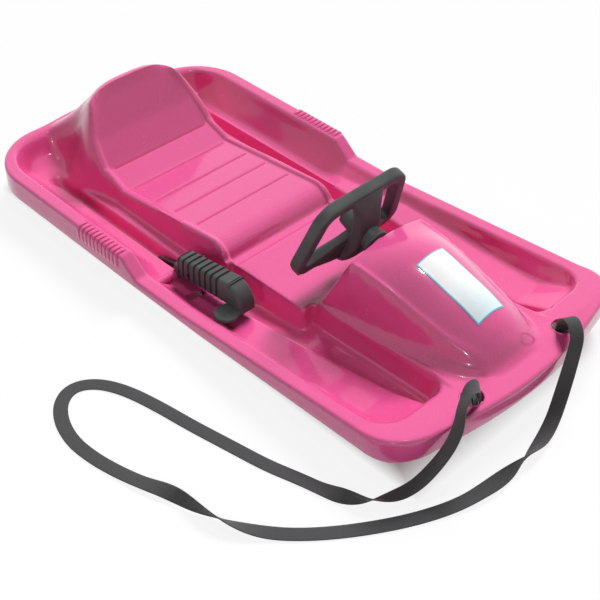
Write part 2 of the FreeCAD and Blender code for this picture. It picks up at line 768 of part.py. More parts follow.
EAR_HALF = "(bush_radius + bracket_ear_rise)"
plate = block("bracket_rear_x", "-bracket_half", "bracket_height", "bracket_front_x - bracket_rear_x",
              "2 * bracket_half", "bracket_plate")
ear_round = bar(COLUMN, "lower_bush_reach", ear_end, EAR_HALF)
ear_foot = document.addObject("Part::Box", "ear_foot")
ear_foot.setExpression("Length", bound("(wheel_height - lower_bush_reach * sin(wheel_tilt * 1deg) - bracket_height - 1) / cos(wheel_tilt * 1deg)"))
ear_foot.setExpression("Width", bound("2 * " + EAR_HALF))
ear_foot.setExpression("Height", bound("bracket_ear"))
set_place(ear_foot, (COLUMN[0], "-" + EAR_HALF, COLUMN[2], COLUMN[3], COLUMN[4]), "lower_bush_reach")
window = block("crank_x - window_rear", "window_edge - crank_throw", "bracket_height - 1",
               "window_length", "2 * (crank_throw - window_edge)", "bracket_plate + 2")
holes = [bar(COLUMN, "lower_bush_reach - 5", ear_end + " + 5", "bush_radius + running_clearance"), window,
         bar(KINGPIN, "bracket_height - 1", "bracket_top + 1", "kingpin_diameter / 2 + running_clearance")]
screws = []
for x in ("post_rear_x", "post_front_x"):
    for y in ("-post_side", "post_side"):
        line = upright(x, y)
        holes.append(bar(line, "bracket_height - 1", "bracket_top + 1", "screw_radius + seat_clearance"))
        screws.append(united([
            bar(line, "bracket_height - screw_head", "bracket_height", "screw_head_radius"),
            bar(line, "bracket_height", "bracket_height + bracket_screw_length", "screw_radius")]))
sub_part(less(united([plate, ear_round, ear_foot]), united(holes)), "column_bracket")
sub_part(grouped(screws), "bracket_screws")


# Steered skid on its kingpin
HUB_TOP = mm("hub_top")
HUB_LOW = mm("hub_low")


def around_kingpin(low, high, radius):
    """A round bar on the kingpin's axis."""
    return Part.makeCylinder(radius, high - low, Vector(KINGPIN_X, 0, low))


def skid_shape():
    """A short ski with a web, a hub on the kingpin and a fork behind that the crank ball moves."""
    sole, half, rise = mm("skid_sole"), mm("skid_half"), mm("skid_tip_rise")
    rear, tip = KINGPIN_X - mm("skid_length") / 2, KINGPIN_X + mm("skid_length") / 2
    ski = side_slab([
        (rear, 8, 0), (rear + 26, 0, 60), (tip - 46, 0, 60), (tip, rise, 0), (tip - 4, rise + 4, 0),
        (tip - 48, sole, 60), (rear + 26, sole, 60), (rear + 1, 8 + sole - 1, 0)], half)
    plan = rounded_wire([
        (Vector(rear - 1, -half, -9), 14), (Vector(tip + 1, -half, -9), 20), (Vector(tip + 1, half, -9), 20),
        (Vector(rear - 1, half, -9), 14)])
    ski = ski.common(Part.Face(plan).extrude(Vector(0, 0, 90)))
    fork_top = CRANK_BALL.z + mm("fork_height") / 2
    fork_low = CRANK_BALL.z - mm("fork_height") / 2
    web = side_slab([
        (rear + 20, sole - 1, 0), (tip - 40, sole - 1, 0), (KINGPIN_X + 14, HUB_TOP - 8, 10),
        (KINGPIN_X, HUB_TOP - 8, 0), (KINGPIN_X - 30, fork_low + 4, 10)], mm("skid_web") / 2)
    slot_half = mm("crank_ball_diameter") / 2 + mm("fork_clearance")
    fork_half = slot_half + mm("fork_cheek")
    fork_rear = CRANK_BALL.x - mm("crank_ball_diameter") / 2 - 5
    fork = Part.makeBox(KINGPIN_X - fork_rear, 2 * fork_half, mm("fork_height"),
                        Vector(fork_rear, -fork_half, fork_low))
    body = ski.fuse(web).fuse(around_kingpin(HUB_LOW, HUB_TOP, mm("skid_hub_radius"))).fuse(fork)
    slot = Part.makeBox(CRANK_BALL.x + slot_half + 4 - fork_rear, 2 * slot_half, 60,
                        Vector(fork_rear - 1, -slot_half, fork_low - 4))
    body = body.cut(slot)
    bore = mm("kingpin_diameter") / 2 + mm("bush_wall") + 2 * mm("running_clearance")
    body = body.cut(around_kingpin(HUB_LOW - 1, HUB_TOP + 1, bore))
    return body.cut(around_kingpin(-9, HUB_LOW, mm("washer_radius") + 2))


feature("steering_skid", skid_shape())
PIN_BORE = "kingpin_diameter / 2 + running_clearance"
sub_part(less(bar(KINGPIN, "hub_low", "hub_top", PIN_BORE + " + bush_wall"),
              bar(KINGPIN, "hub_low - 1", "hub_top + 1", PIN_BORE)), "kingpin_bush")
sub_part(united([
    bar(KINGPIN, "kingpin_low - 2", "bracket_top", "kingpin_diameter / 2"),
    bar(KINGPIN, "bracket_top", "bracket_top + kingpin_head", "kingpin_head_radius")]), "kingpin")
washers = []
for low in ("nut_top + seat_clearance", "hub_top + seat_clearance"):
    washers.append(less(bar(KINGPIN, low, low + " + washer_thickness", "washer_radius"),
                        bar(KINGPIN, low + " - 1", low + " + washer_thickness + 1", PIN_BORE)))
sub_part(grouped(washers), "kingpin_washers")
hexagon = document.addObject("Part::Prism", "hexagon")
hexagon.Polygon = 6
hexagon.setExpression("Circumradius", bound("nut_across / sqrt(3)"))
hexagon.setExpression("Height", bound("nut_height"))
set_place(hexagon, KINGPIN, "kingpin_low")
sub_part(less(hexagon, bar(KINGPIN, "kingpin_low - 1", "nut_top + 1", "kingpin_diameter / 2")), "kingpin_nut")


# Hand brake on the rider's right
AXLE = Vector(mm("axle_x"), 0, mm("axle_height"))


def on_axle(outer, inner, radius):
    """A round bar on the brake axle between two places across the sled."""
    return rod(Vector(AXLE.x, outer, AXLE.z), Vector(AXLE.x, inner, AXLE.z), radius)


def claw_shape(thickness, hole):
    """The steel claw: a plate that reaches back into the runner channel and bites down through it."""
    x, z = AXLE.x, AXLE.z
    reach = mm("claw_length")
    points = [(x - 9, z + 12), (x + 41, z + 24), (x + 45, z + 16), (x + 9, z - 9), (x - reach, z - 23),
              (x - reach - 1, z - 17), (x - 15, z - 6)]
    side = mm("claw_y") - thickness / 2
    plate = Part.Face(polygon([Vector(a, side, b) for a, b in points])).extrude(Vector(0, thickness, 0))
    if not hole:
        return plate
    plate = plate.cut(on_axle(-230, -90, hole))
    for x, z in RIVETS:
        plate = plate.cut(rod(Vector(x, -190, z), Vector(x, -120, z), mm("rivet_radius") + mm("running_clearance")))
    return plate


RIVETS = [(AXLE.x + mm("rivet_rear"), AXLE.z + mm("rivet_rear_rise")),
          (AXLE.x + mm("rivet_front"), AXLE.z + mm("rivet_front_rise"))]


def lever_shape():
    """The moulded lever: a hub, a ribbed hand grip and a front end that curls down to rest on the shelf."""
    middle, half, high = mm("brake_y"), mm("brake_grip_half"), mm("brake_grip_height")
    rear, front = AXLE.x - 11, mm("brake_grip_front_x")
    core = Part.makeBox(front - rear, 2 * half, 2 * half, Vector(rear, middle - half, high - half))
    core = core.makeFillet(half * 0.7, [e for e in core.Edges if abs(e.tangentAt(e.FirstParameter).x) > 0.9])
    proud = mm("brake_rib_proud")
    ribs = []
    for i in range(int((front - 14 - rear) / mm("brake_rib_pitch"))):
        rib = Part.makeBox(mm("brake_rib"), 2 * (half + proud), 2 * (half + proud),
                           Vector(rear + 4 + i * mm("brake_rib_pitch"), middle - half - proud, high - half - proud))
        ribs.append(rib.makeFillet(half * 0.7, [e for e in rib.Edges if abs(e.tangentAt(e.FirstParameter).x) > 0.9]))
    foot = mm("brake_foot_radius")
    foot_y = mm("brake_foot_y")
    rest = mm("brake_rest_height") + foot
    end = Vector(mm("brake_foot_x"), foot_y + foot, rest)
    path = rounded_wire([(Vector(front - half, middle, high), 0), (Vector(end.x, middle, high), 13), (end, 0)],
                        closed=False)
    hook = path.makePipeShell([Part.Wire(Part.makeCircle(foot, Vector(front - half, middle, high), Vector(1, 0, 0)))],
                              True, False)
    tip = Part.makeSphere(foot, end)
    pad = Part.makeCylinder(mm("brake_pad_radius"), mm("brake_pad"),
                            Vector(end.x, foot_y, mm("brake_pad_low")))
    shoulder = Part.makeSphere(half, Vector(front, middle, high))
    hub_half = mm("brake_hub_half")
    hub = on_axle(middle - hub_half, middle + hub_half, mm("brake_hub_radius"))
    neck = Part.makeBox(2 * mm("brake_hub_radius"), 2 * hub_half, high - AXLE.z,
                        Vector(AXLE.x - mm("brake_hub_radius"), middle - hub_half, AXLE.z))
    body = core
    for piece in ribs + [shoulder, hook, tip, pad, hub, neck]:
        body = body.fuse(piece)
    body = body.cut(claw_shape(mm("claw_thickness") + 2 * mm("running_clearance"), 0))
    body = body.cut(on_axle(-230, -90, mm("axle_diameter") / 2 + mm("running_clearance")))
    for x, z in RIVETS:
        body = body.cut(rod(Vector(x, -190, z), Vector(x, -120, z), mm("rivet_radius")))
    return body


feature("brake_lever", lever_shape())
feature("brake_claw", claw_shape(mm("claw_thickness"), mm("axle_diameter") / 2 + 4 * mm("running_clearance")))
rivets = []
for x, z in (("rivet_rear", "rivet_rear_rise"), ("rivet_front", "rivet_front_rise")):
    line = ("axle_x + " + x, "{0}", "axle_height + " + z, Vector(1, 0, 0), "-90")
    rivets.append(bar(line, "brake_y - brake_grip_half", "claw_y + claw_thickness / 2", "rivet_radius"))
sub_part(grouped(rivets), "claw_rivets")
sub_part(bar(AXLE_LINE, "axle_outer_y", "axle_inner_y", "axle_diameter / 2"), "brake_axle")
caps = []
for low in ("axle_outer_y + axle_end", "axle_inner_y - axle_end - cap_thickness"):
    caps.append(less(bar(AXLE_LINE, low, low + " + cap_thickness", "cap_radius"),
                     bar(AXLE_LINE, low + " - 1", low + " + cap_thickness + 1", "axle_diameter / 2")))
sub_part(grouped(caps), "axle_caps")
spacers = []
for low, high in (("spacer_outer_y", "brake_y - brake_hub_half - seat_clearance"),
                  ("claw_y + claw_thickness / 2 + seat_clearance", "spacer_inner_y")):
    spacers.append(less(bar(AXLE_LINE, low, high, "cap_radius"),
                        bar(AXLE_LINE, low + " - 1", high + " + 1", "axle_diameter / 2 + running_clearance")))
sub_part(grouped(spacers), "axle_spacers")


# Tow strap: flat webbing from one nose hole, round in front of the sled, to the other
HOLE_X, HOLE_Y = mm("strap_hole_x"), mm("strap_hole_y")
LYING = mm("strap_thickness") / 2 + 0.4
TOW_ROUTE = [
    (HOLE_X, -HOLE_Y, 70), (HOLE_X, -HOLE_Y, 94), (421, -112, 106), (429, -131, 96), (439, -147, 81),
    (441, -164, 60), (437, -184, 38), (431, -207, 20), (421, -231, 12.5), (405, -256, 11.5), (380, -272, 9.5),
    (352, -279, 3.5), (317, -287, LYING), (274, -301, LYING), (219, -312, LYING), (162, -324, LYING),
    (107, -333, LYING), (56, -345, LYING), (20, -364, LYING), (4, -391, LYING), (14, -418, LYING),
    (42, -438, LYING), (80, -448, LYING), (118, -446, LYING), (155, -439, 2), (192, -429, 4), (231, -416, 9.5),
    (275, -409, 11.5), (318, -395, 9), (352, -371, 3), (386, -336, LYING), (420, -291, LYING),
    (453, -236, LYING), (477, -182, 3.5), (488, -137, 9.5), (492, -97, 11.5), (490, -59, 9.5), (484, -24, 5),
    (474, 10, 9), (464, 36, 26), (459, 50, 48), (455, 61, 72), (450.5, 71.5, 95), (433, 82, 107),
    (HOLE_X, HOLE_Y, 94), (HOLE_X, HOLE_Y, 70)]
# Which way the strap's width lies, by the corners passed: across the first bends, level on the ground but for
# three half turns, and across the last bends
NEAR_WIDTH, NEAR_TURNED, GROUND_FIRST = Vector(0.7, -0.7, 0), 2.6, 6.4
FAR_WIDTH, FAR_TURNED, GROUND_LAST = Vector(0.49, 0.872, 0), 42, 38
HALF_TURNS = [(7.5, 11.5), (24.8, 29.2), (33.2, 37.6)]


def strap_line(points):
    """Places along the route, its corners rounded as far as their runs allow: point, direction, and how many
    corners have been passed."""
    vectors = [Vector(*point) for point in points]
    line = [(vectors[0], (vectors[1] - vectors[0]).normalize(), 0)]
    for i in range(1, len(vectors) - 1):
        back, ahead = vectors[i - 1] - vectors[i], vectors[i + 1] - vectors[i]
        turn = math.pi - back.getAngle(ahead)
        reach = 0.45 * min(back.Length, ahead.Length)
        radius = reach / math.tan(turn / 2)
        back.normalize()
        ahead.normalize()
        outward = -(back + ahead).normalize()
        centre = vectors[i] - outward * (radius / math.cos(turn / 2))
        along = (ahead - back).normalize()
        steps = max(2, math.ceil(math.degrees(turn) / 8))
        for step in range(steps + 1):
            angle = turn * (step / steps - 0.5)
            point = centre + outward * (radius * math.cos(angle)) + along * (radius * math.sin(angle))
            direction = along * math.cos(angle) - outward * math.sin(angle)
            line.append((point, direction, i + 0.9 * (step / steps - 0.5)))
    line.append((vectors[-1], (vectors[-1] - vectors[-2]).normalize(), len(vectors) - 1))
    return line


def width_direction(direction, passed):
    """The way the strap's width points at one place: level, turned over at each half turn, and swung round
    to the bends at both ends."""
    level = Vector(-direction.y, direction.x, 0)
    level = level.normalize() if level.Length > 0.01 else NEAR_WIDTH
    turned = 0
    for first, last in HALF_TURNS:
        share = min(max((passed - first) / (last - first), 0), 1)
        turned += math.pi * share * share * (3 - 2 * share)
    width = level * math.cos(turned) + direction.cross(level) * math.sin(turned)
    near = min(max((GROUND_FIRST - passed) / (GROUND_FIRST - NEAR_TURNED), 0), 1)
    far = min(max((passed - GROUND_LAST) / (FAR_TURNED - GROUND_LAST), 0), 1)
    width = NEAR_WIDTH * near + FAR_WIDTH * far + width * (1 - near - far)
    return (width - direction * width.dot(direction)).normalize()


def strap_shape():
    """A flat section carried along the route: ruled faces between each place and the next, sewn together."""
    half, thick = mm("strap_width") / 2, mm("strap_thickness") / 2
    rows = []
    for point, direction, passed in strap_line(TOW_ROUTE):
        width = width_direction(direction, passed)
        face = direction.cross(width)
        rows.append([point + width * (a * half) + face * (b * thick) for a, b in ((-1, -1), (1, -1), (1, 1), (-1, 1))])
    faces = [Part.Face(polygon(rows[0])), Part.Face(polygon(rows[-1]))]
    for here, there in zip(rows, rows[1:]):
        for k in range(4):
            j = (k + 1) % 4
            faces.append(Part.makeRuledSurface(Part.makeLine(here[k], here[j]), Part.makeLine(there[k], there[j])))
    skin = Part.makeCompound(faces)
    skin.sewShape()
    return Part.makeSolid(skin.Shells[0])


def stop_shape(x, y, width):
    """A slotted bar under one nose hole that keeps the strap's end from pulling through."""
    length, across, high = mm("stop_length"), mm("stop_width"), mm("stop_height")
    top = sheer_height(x - length / 2) - mm("wall") - mm("seat_clearance")
    stop = Part.makeBox(length, across, high, Vector(-length / 2, -across / 2, 0))
    stop = stop.makeFillet(3, [edge for edge in stop.Edges if abs(edge.tangentAt(edge.FirstParameter).z) > 0.9])
    slot_long, slot_wide = mm("strap_width") + 1, mm("strap_thickness") + 1
    stop = stop.cut(Part.makeBox(slot_long, slot_wide, 3 * high, Vector(-slot_long / 2, -slot_wide / 2, -high)))
    turn = math.degrees(math.atan2(width.y, width.x))
    stop.Placement = Placement(Vector(x, y, top - high), Rotation(Vector(0, 0, 1), turn))
    return stop


feature("tow_strap", strap_shape())
feature("strap_stops", Part.makeCompound([
    stop_shape(HOLE_X, -HOLE_Y, NEAR_WIDTH), stop_shape(HOLE_X, HOLE_Y, FAR_WIDTH)]))

document.recompute()
os.makedirs("parts", exist_ok=True)
for item in document.Objects:
    if "Invalid" in item.State or "Error" in item.State:
        raise RuntimeError(f"{item.Label} did not compute")
for item in sub_parts:
    shape = item.Shape
    if shape.isNull() or not shape.isValid() or not shape.Solids:
        raise RuntimeError(f"{item.Label} has no valid solid")
    print(item.Label, len(shape.Solids), round(shape.Volume))
    shape.exportStep(f"parts/{item.Label}.step")
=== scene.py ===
import math

import bmesh
import bpy
import numpy as np
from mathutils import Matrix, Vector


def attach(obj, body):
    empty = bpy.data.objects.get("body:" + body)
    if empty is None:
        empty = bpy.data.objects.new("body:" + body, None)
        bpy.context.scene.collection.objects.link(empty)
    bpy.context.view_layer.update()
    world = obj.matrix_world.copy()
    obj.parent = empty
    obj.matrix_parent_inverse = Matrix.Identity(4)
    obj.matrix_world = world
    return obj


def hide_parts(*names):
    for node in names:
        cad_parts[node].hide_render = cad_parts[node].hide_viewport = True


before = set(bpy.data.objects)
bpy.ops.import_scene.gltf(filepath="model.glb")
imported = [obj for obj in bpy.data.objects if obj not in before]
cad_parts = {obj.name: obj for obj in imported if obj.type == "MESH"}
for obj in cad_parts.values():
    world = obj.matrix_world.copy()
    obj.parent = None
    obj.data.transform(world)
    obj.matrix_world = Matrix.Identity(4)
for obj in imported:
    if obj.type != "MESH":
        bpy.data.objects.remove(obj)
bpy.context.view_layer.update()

bl_info = {
    "name": "Steering sled dressing",
    "version": (1, 0, 0),
    "blender": (4, 5, 0),
    "location": "3D View > Sidebar > Sled",
    "description": "Moulded skins, steering wheel, brake lever, tow strap and finishes of a steering sled",
    "category": "Object",
}

# Height of the strap's middle line where it lies on the ground, in metres
LYING = 0.0014

# Points of the tow strap's route, in metres, from the right nose hole round the near side to the left one
STRAP_ROUTE = (
    (0.421, -0.085, 0.070), (0.421, -0.085, 0.095), (0.4215, -0.106, 0.110), (0.427, -0.130, 0.098),
    (0.439, -0.147, 0.081), (0.441, -0.164, 0.060), (0.437, -0.184, 0.038), (0.431, -0.207, 0.020),
    (0.421, -0.231, 0.0125), (0.405, -0.256, 0.0115), (0.380, -0.272, 0.0095), (0.352, -0.279, 0.0035),
    (0.317, -0.287, LYING), (0.274, -0.301, LYING), (0.219, -0.312, LYING), (0.162, -0.324, LYING),
    (0.107, -0.333, LYING), (0.056, -0.345, LYING), (0.020, -0.364, LYING), (0.004, -0.391, LYING),
    (0.014, -0.418, LYING), (0.042, -0.438, LYING), (0.080, -0.448, LYING), (0.118, -0.446, LYING),
    (0.155, -0.439, 0.002), (0.192, -0.429, 0.004), (0.231, -0.416, 0.0095), (0.275, -0.409, 0.0115),
    (0.318, -0.395, 0.009), (0.352, -0.371, 0.003), (0.386, -0.336, LYING), (0.420, -0.291, LYING),
    (0.453, -0.236, LYING), (0.477, -0.182, 0.0035), (0.488, -0.137, 0.0095), (0.492, -0.097, 0.0115),
    (0.490, -0.059, 0.0095), (0.484, -0.024, 0.005), (0.474, 0.010, 0.009), (0.464, 0.036, 0.026),
    (0.459, 0.050, 0.048), (0.455, 0.061, 0.072), (0.4505, 0.0715, 0.095), (0.433, 0.082, 0.107),
    (0.415, 0.092, 0.094), (0.415, 0.092, 0.070))

# Ways that the strap's width points at its near and far ends
NEAR_WIDTH = (0.7, -0.7, 0.0)
FAR_WIDTH = (0.49, 0.872, 0.0)

# Places counted in route points: where the ends have turned, the level stretch between them, the half turns
NEAR_TURNED = 2.6
GROUND_FIRST = 6.4
GROUND_LAST = 38.0
FAR_TURNED = 42.0
HALF_TURNS = ((7.5, 11.5), (24.8, 29.2), (33.2, 37.6))

# The photograph's camera, in metres, degrees and millimetres of lens
CAMERA_PLACE = (0.9701, -0.9611, 1.1115)
CAMERA_AIM = (0.0542, -0.0251, -0.0372)
CAMERA_ROLL = 1.44
CAMERA_LENS = 71.5
CAMERA_SENSOR = 36.0

# Lamps: name, kind, place, size in degrees or metres, and power
LAMPS = (
    ("sky_lamp", "SUN", (-0.7, 1.6, 1.9), 22.0, 3.7),
    ("spark_lamp", "AREA", (0.1, -0.1, 2.1), 0.16, 5.0),
    ("side_lamp", "AREA", (0.9, -1.6, 1.0), 0.16, 4.5))
LAMP_AIM = (0.0, 0.0, 0.05)

# Half length and half width of the floor under the shell, which stays as dark as its shadow makes it
SHADED_FLOOR = (0.44, 0.21)

# The values from here on are in millimetres, and the sizes that a user would change are in metres

# The wheel: its middle, the column's direction, its plane's upward direction, and its upper and lower corners
WHEEL_MIDDLE = np.array([124.0, 0.0, 137.0])
COLUMN_WAY = np.array([0.9510565, 0.0, -0.309017])
WHEEL_UP = np.array([0.309017, 0.0, 0.9510565])
WHEEL_TOP = (80.0, 64.0)
WHEEL_BOTTOM = (102.0, -58.0)

# The brake: its pivot, the lever's middle plane, the foot pad's middle, the grip's ends and its row of ribs
PIVOT_X = -55.0
PIVOT_Z = 28.0
LEVER_Y = -155.5
PAD_X = 71.0
GRIP_ENDS = (-46.0, 62.0)
RIB_FIRST = -44.0
RIB_PITCH = 11.6

# Openings in the shell: strap holes as middles, slots as rear, front, right and left edges
STRAP_HOLES = ((415.0, -92.0), (415.0, 92.0))
HOLE_RADIUS = 15.5
SLOTS = ((-122.0, -38.0, -148.5, -141.5), (-12.0, 2.0, -186.0, -156.0))
SLOT_SPARE = 3.0

# Lines across the seat, and half the length of a line
SEAT_GROOVES = (-286.0, -241.0, -188.0, -143.5, -92.8)
GROOVE_HALF = 93.0

# The blank label's rear edge, length and width, and its two faces' heights over the cowl
LABEL_REAR = 259.0
LABEL_LONG = 106.0
LABEL_WIDE = 51.0
LABEL_TOP = 0.55
LABEL_FOOT = 0.05

# Places of the four posts under the cowl that carry the steering bracket, and of the hand grips' ribs
POSTS_X = (236.0, 334.0)
POSTS_Y = (-40.0, 40.0)
GRIP_RIBS = np.arange(-197.0, -104.0, 8.6)
GRIP_RIB_HALF = 3.3


class SledSizes(bpy.types.PropertyGroup):
    """Sizes of the moulded pieces that a user would change."""
    wall: bpy.props.FloatProperty(
        name="Wall", description="Thickness of the moulded shell", default=0.003, unit="LENGTH")
    edge_round: bpy.props.FloatProperty(
        name="Edge round", description="How far the shell's inner edges are softened", default=0.0014,
        unit="LENGTH")
    groove_depth: bpy.props.FloatProperty(
        name="Groove depth", description="Depth of the lines across the seat", default=0.0024, unit="LENGTH")
    rib_rise: bpy.props.FloatProperty(
        name="Rim rib rise", description="How far the hand grips on the rim stand up", default=0.0028,
        unit="LENGTH")
    wheel_rim: bpy.props.FloatProperty(
        name="Wheel rim", description="Width of the steering wheel's rim", default=0.017, unit="LENGTH")
    wheel_depth: bpy.props.FloatProperty(
        name="Wheel depth", description="Depth of the steering wheel's rim", default=0.018, unit="LENGTH")
    lever_ribs: bpy.props.IntProperty(
        name="Lever ribs", description="Ribs along the brake's hand grip", default=9, min=3, max=14)
    strap_width: bpy.props.FloatProperty(
        name="Strap width", description="Width of the tow strap's webbing", default=0.019, unit="LENGTH")
    strap_thickness: bpy.props.FloatProperty(
        name="Strap thickness", description="Thickness of the webbing", default=0.0018, unit="LENGTH")


class SledColours(bpy.types.PropertyGroup):
    """Colours of the finishes."""
    shell: bpy.props.FloatVectorProperty(
        name="Shell", description="Pearly moulded shell", subtype="COLOR", size=4,
        default=(0.78, 0.082, 0.29, 1.0))
    dark: bpy.props.FloatVectorProperty(
        name="Controls", description="Wheel and brake lever", subtype="COLOR", size=4,
        default=(0.062, 0.066, 0.066, 1.0))
    webbing: bpy.props.FloatVectorProperty(
        name="Webbing", description="Tow strap", subtype="COLOR", size=4, default=(0.058, 0.058, 0.060, 1.0))
    label: bpy.props.FloatVectorProperty(
        name="Label", description="Pale end of the blank label", subtype="COLOR", size=4,
        default=(0.62, 0.84, 0.93, 1.0))
    label_edge: bpy.props.FloatVectorProperty(
        name="Label edge", description="Border of the blank label", subtype="COLOR", size=4,
        default=(0.10, 0.55, 0.68, 1.0))


# Arrays and meshes


def eased(x, stations, values):
    """A smooth line through stations: cubic pieces whose slopes come from the neighbouring stations."""
    stations = np.asarray(stations, float)
    values = np.asarray(values, float)
    slopes = np.gradient(values, stations)
    i = np.clip(np.searchsorted(stations, x) - 1, 0, len(stations) - 2)
    run = stations[i + 1] - stations[i]
    t = np.clip((x - stations[i]) / run, 0, 1)
    return ((1 + 2 * t) * (1 - t) ** 2 * values[i] + t * (1 - t) ** 2 * run * slopes[i]
            + t * t * (3 - 2 * t) * values[i + 1] + t * t * (t - 1) * run * slopes[i + 1])


def unit(vectors):
    """Vectors divided by their length."""
    return vectors / np.maximum(np.linalg.norm(vectors, axis=-1, keepdims=True), 1e-9)


def grid_faces(rows, columns, close_rows=False, close_columns=False):
    """Four-sided faces of a grid numbered row by row; a closed way joins its last line to its first."""
    r = np.arange(rows if close_rows else rows - 1)
    c = np.arange(columns if close_columns else columns - 1)
    r, c = np.meshgrid(r, c, indexing="ij")
    here = r * columns
    below = (r + 1) % rows * columns
    beside = (c + 1) % columns
    return np.stack([here + c, below + c, below + beside, here + beside], -1).reshape(-1, 4)


def gathered(pieces):
    """Several (points, faces) pairs as one, the faces renumbered."""
    points = []
    faces = []
    count = 0
    for some_points, some_faces in pieces:
        some_points = np.asarray(some_points, float).reshape(-1, 3)
        points.append(some_points)
        faces.append(np.asarray(some_faces) + count)
        count += len(some_points)
    return np.concatenate(points), np.concatenate(faces)


def put(name, points, faces, body, finish, uv=None, crease=35.0):
    """A mesh object at the origin from points in millimetres, riding on a body and wearing a named finish."""
    mesh = bpy.data.meshes.new(name)
    mesh.from_pydata((np.asarray(points) / 1000).tolist(), [], np.asarray(faces).tolist())
    if uv is not None:
        corners = np.empty(len(mesh.loops), np.int32)
        mesh.loops.foreach_get("vertex_index", corners)
        layer = mesh.uv_layers.new(name="UVMap")
        layer.data.foreach_set("uv", np.asarray(uv, np.float32)[corners].ravel())
    mesh.polygons.foreach_set("use_smooth", np.ones(len(mesh.polygons), bool))
    mesh.set_sharp_from_angle(angle=math.radians(crease))
    mesh.validate()
    mesh.update()
    piece = bpy.data.objects.new(name, mesh)
    bpy.context.scene.collection.objects.link(piece)
    mesh.materials.append(bpy.data.materials[finish])
    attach(piece, body)
    return piece


def ring_profile(half_across, half_up, power, count):
    """A closed rounded-square section: the superellipse (|a|/across)^power + (|b|/up)^power = 1."""
    angle = np.linspace(0, 2 * np.pi, count, endpoint=False)
    a = half_across * np.sign(np.cos(angle)) * np.abs(np.cos(angle)) ** (2 / power)
    b = half_up * np.sign(np.sin(angle)) * np.abs(np.sin(angle)) ** (2 / power)
    return np.stack([a, b], -1)


def closed_tube(rows):
    """Points and faces of rows of sections; both ends are closed by drawing a section to its middle."""
    first = np.broadcast_to(rows[0].mean(0), rows[0].shape)
    last = np.broadcast_to(rows[-1].mean(0), rows[-1].shape)
    rows = np.concatenate([first[None], rows, last[None]])
    return rows, grid_faces(rows.shape[0], rows.shape[1], close_columns=True)


def turned(middle, axis, across, profile, count=40):
    """A turned form: (reach along the axis, radius) pairs swept round the axis through the middle."""
    axis = unit(np.asarray(axis, float))
    across = unit(np.asarray(across, float))
    other = np.cross(axis, across)
    angle = np.linspace(0, 2 * np.pi, count, endpoint=False)
    ways = np.cos(angle)[:, None] * across + np.sin(angle)[:, None] * other
    reach = np.array([p[0] for p in profile])
    radius = np.array([p[1] for p in profile])
    rows = np.asarray(middle, float) + reach[:, None, None] * axis + radius[:, None, None] * ways[None]
    return rows, grid_faces(len(profile), count, close_columns=True)[:, ::-1]


def cushioned(middle, half_x, half_y, half_z, power, count=28):
    """A rounded block: the superellipsoid of that power with three half sizes."""
    v = np.linspace(-np.pi / 2, np.pi / 2, count)
    section = ring_profile(1, 1, power, 2 * count)
    out = np.abs(np.cos(v)) ** (2 / power)
    up = np.sign(np.sin(v)) * np.abs(np.sin(v)) ** (2 / power)
    x = middle[0] + half_x * out[:, None] * section[None, :, 0]
    y = middle[1] + half_y * out[:, None] * section[None, :, 1]
    z = middle[2] + half_z * up[:, None] * np.ones(2 * count)[None]
    return np.stack([x, y, z], -1), grid_faces(count, 2 * count, close_columns=True)[:, ::-1]


# The shell's form, as a height over the ground in millimetres

# Rim's top and the skirt's lower edge: places along the sled, heights there
SHEER = ((-600, -102, -71, 20, 350, 412, 600), (63, 63, 38, 39, 67, 78, 78.5))
SKIRT = ((-600, -84, 65, 391, 447.5, 600), (30, 24.5, 25, 37, 53, 93))
HALF_WIDTH = 225.0
RIM_TOP = 63.0
RIM_INSET = 7.0

# Foot trough: place along the sled, wall's foot and height, shelf's edge and height, channel's side, floors
TUB = np.array([
    (-430, 190, 63.2, 154, 63.2, 135.6, 63.2, 63.2), (-414, 182, 38, 154, 38, 135.6, 38, 38),
    (-396, 174, 25, 154, 25, 135.6, 25, 25), (-372, 172, 21, 154, 21, 135.6, 20.5, 21),
    (-356, 172, 21, 154, 21, 135.6, 3, 21), (-102, 172, 21, 154, 21, 135.6, 3, 21),
    (-71, 180, 21, 154, 21, 135.6, 3, 21), (20, 189.5, 25, 150, 24, 119.6, 3, 12),
    (66, 191, 30, 149, 27.5, 99.6, 3, 4), (190, 191, 32, 138, 31, 99.6, 15.5, 16.5),
    (295, 185, 36, 127, 36, 101.6, 27, 28), (320, 184, 38, 124, 37.5, 102.8, 30, 31),
    (362, 188, 53, 123.5, 53, 106, 34, 35), (380, 190, 59, 123, 59, 107.6, 36, 37)], float)
CHANNEL_SIDE = 3.0

# Plan of a foot trough: outer side, ends, and the rounds of its rear, front and inner front corners
TROUGH_SIDE = 206.0
TROUGH_REAR = -430.0
TROUGH_FRONT = 378.0
REAR_CORNER = 76.0
FRONT_CORNER = 43.0
INNER_CORNER = 26.0
INNER_CORNER_Y = 118.0

# Backrest: place along the sled, crest, edge, the edge's height, fall of the flank
BACK = np.array([
    (-451.5, 59, 106, 57, 2.0), (-428, 78, 107, 64.5, 2.4), (-400, 113, 94, 74, 2.6),
    (-382, 134, 84, 95, 2.6), (-366, 150, 79, 121, 2.4), (-353, 153, 80, 135, 2.4),
    (-343, 147, 85, 133, 2.4), (-323, 105, 103, 98, 2.5), (-305, 81, 109, 76, 2.8),
    (-284, 55, 112, 53, 4.0), (-250, 39, 112, 38, 7.0)], float)
CREST_POWER = 3.5

# Seat panel: places along the sled, with its height and its half width there
PANEL = (
    (-352, -318, -288, -245, -48, -39, -31, -25, -20, -16.5, -14.5, 2),
    (145, 90, 54, 39, 59.4, 59.4, 57.4, 54, 49, 43.5, 37.5, 37.5))
PANEL_EDGE = ((-352, -350, -346, -340, -332, -320, -304, -288, 2), (60, 67, 74, 80, 87, 94, 98, 100, 98))

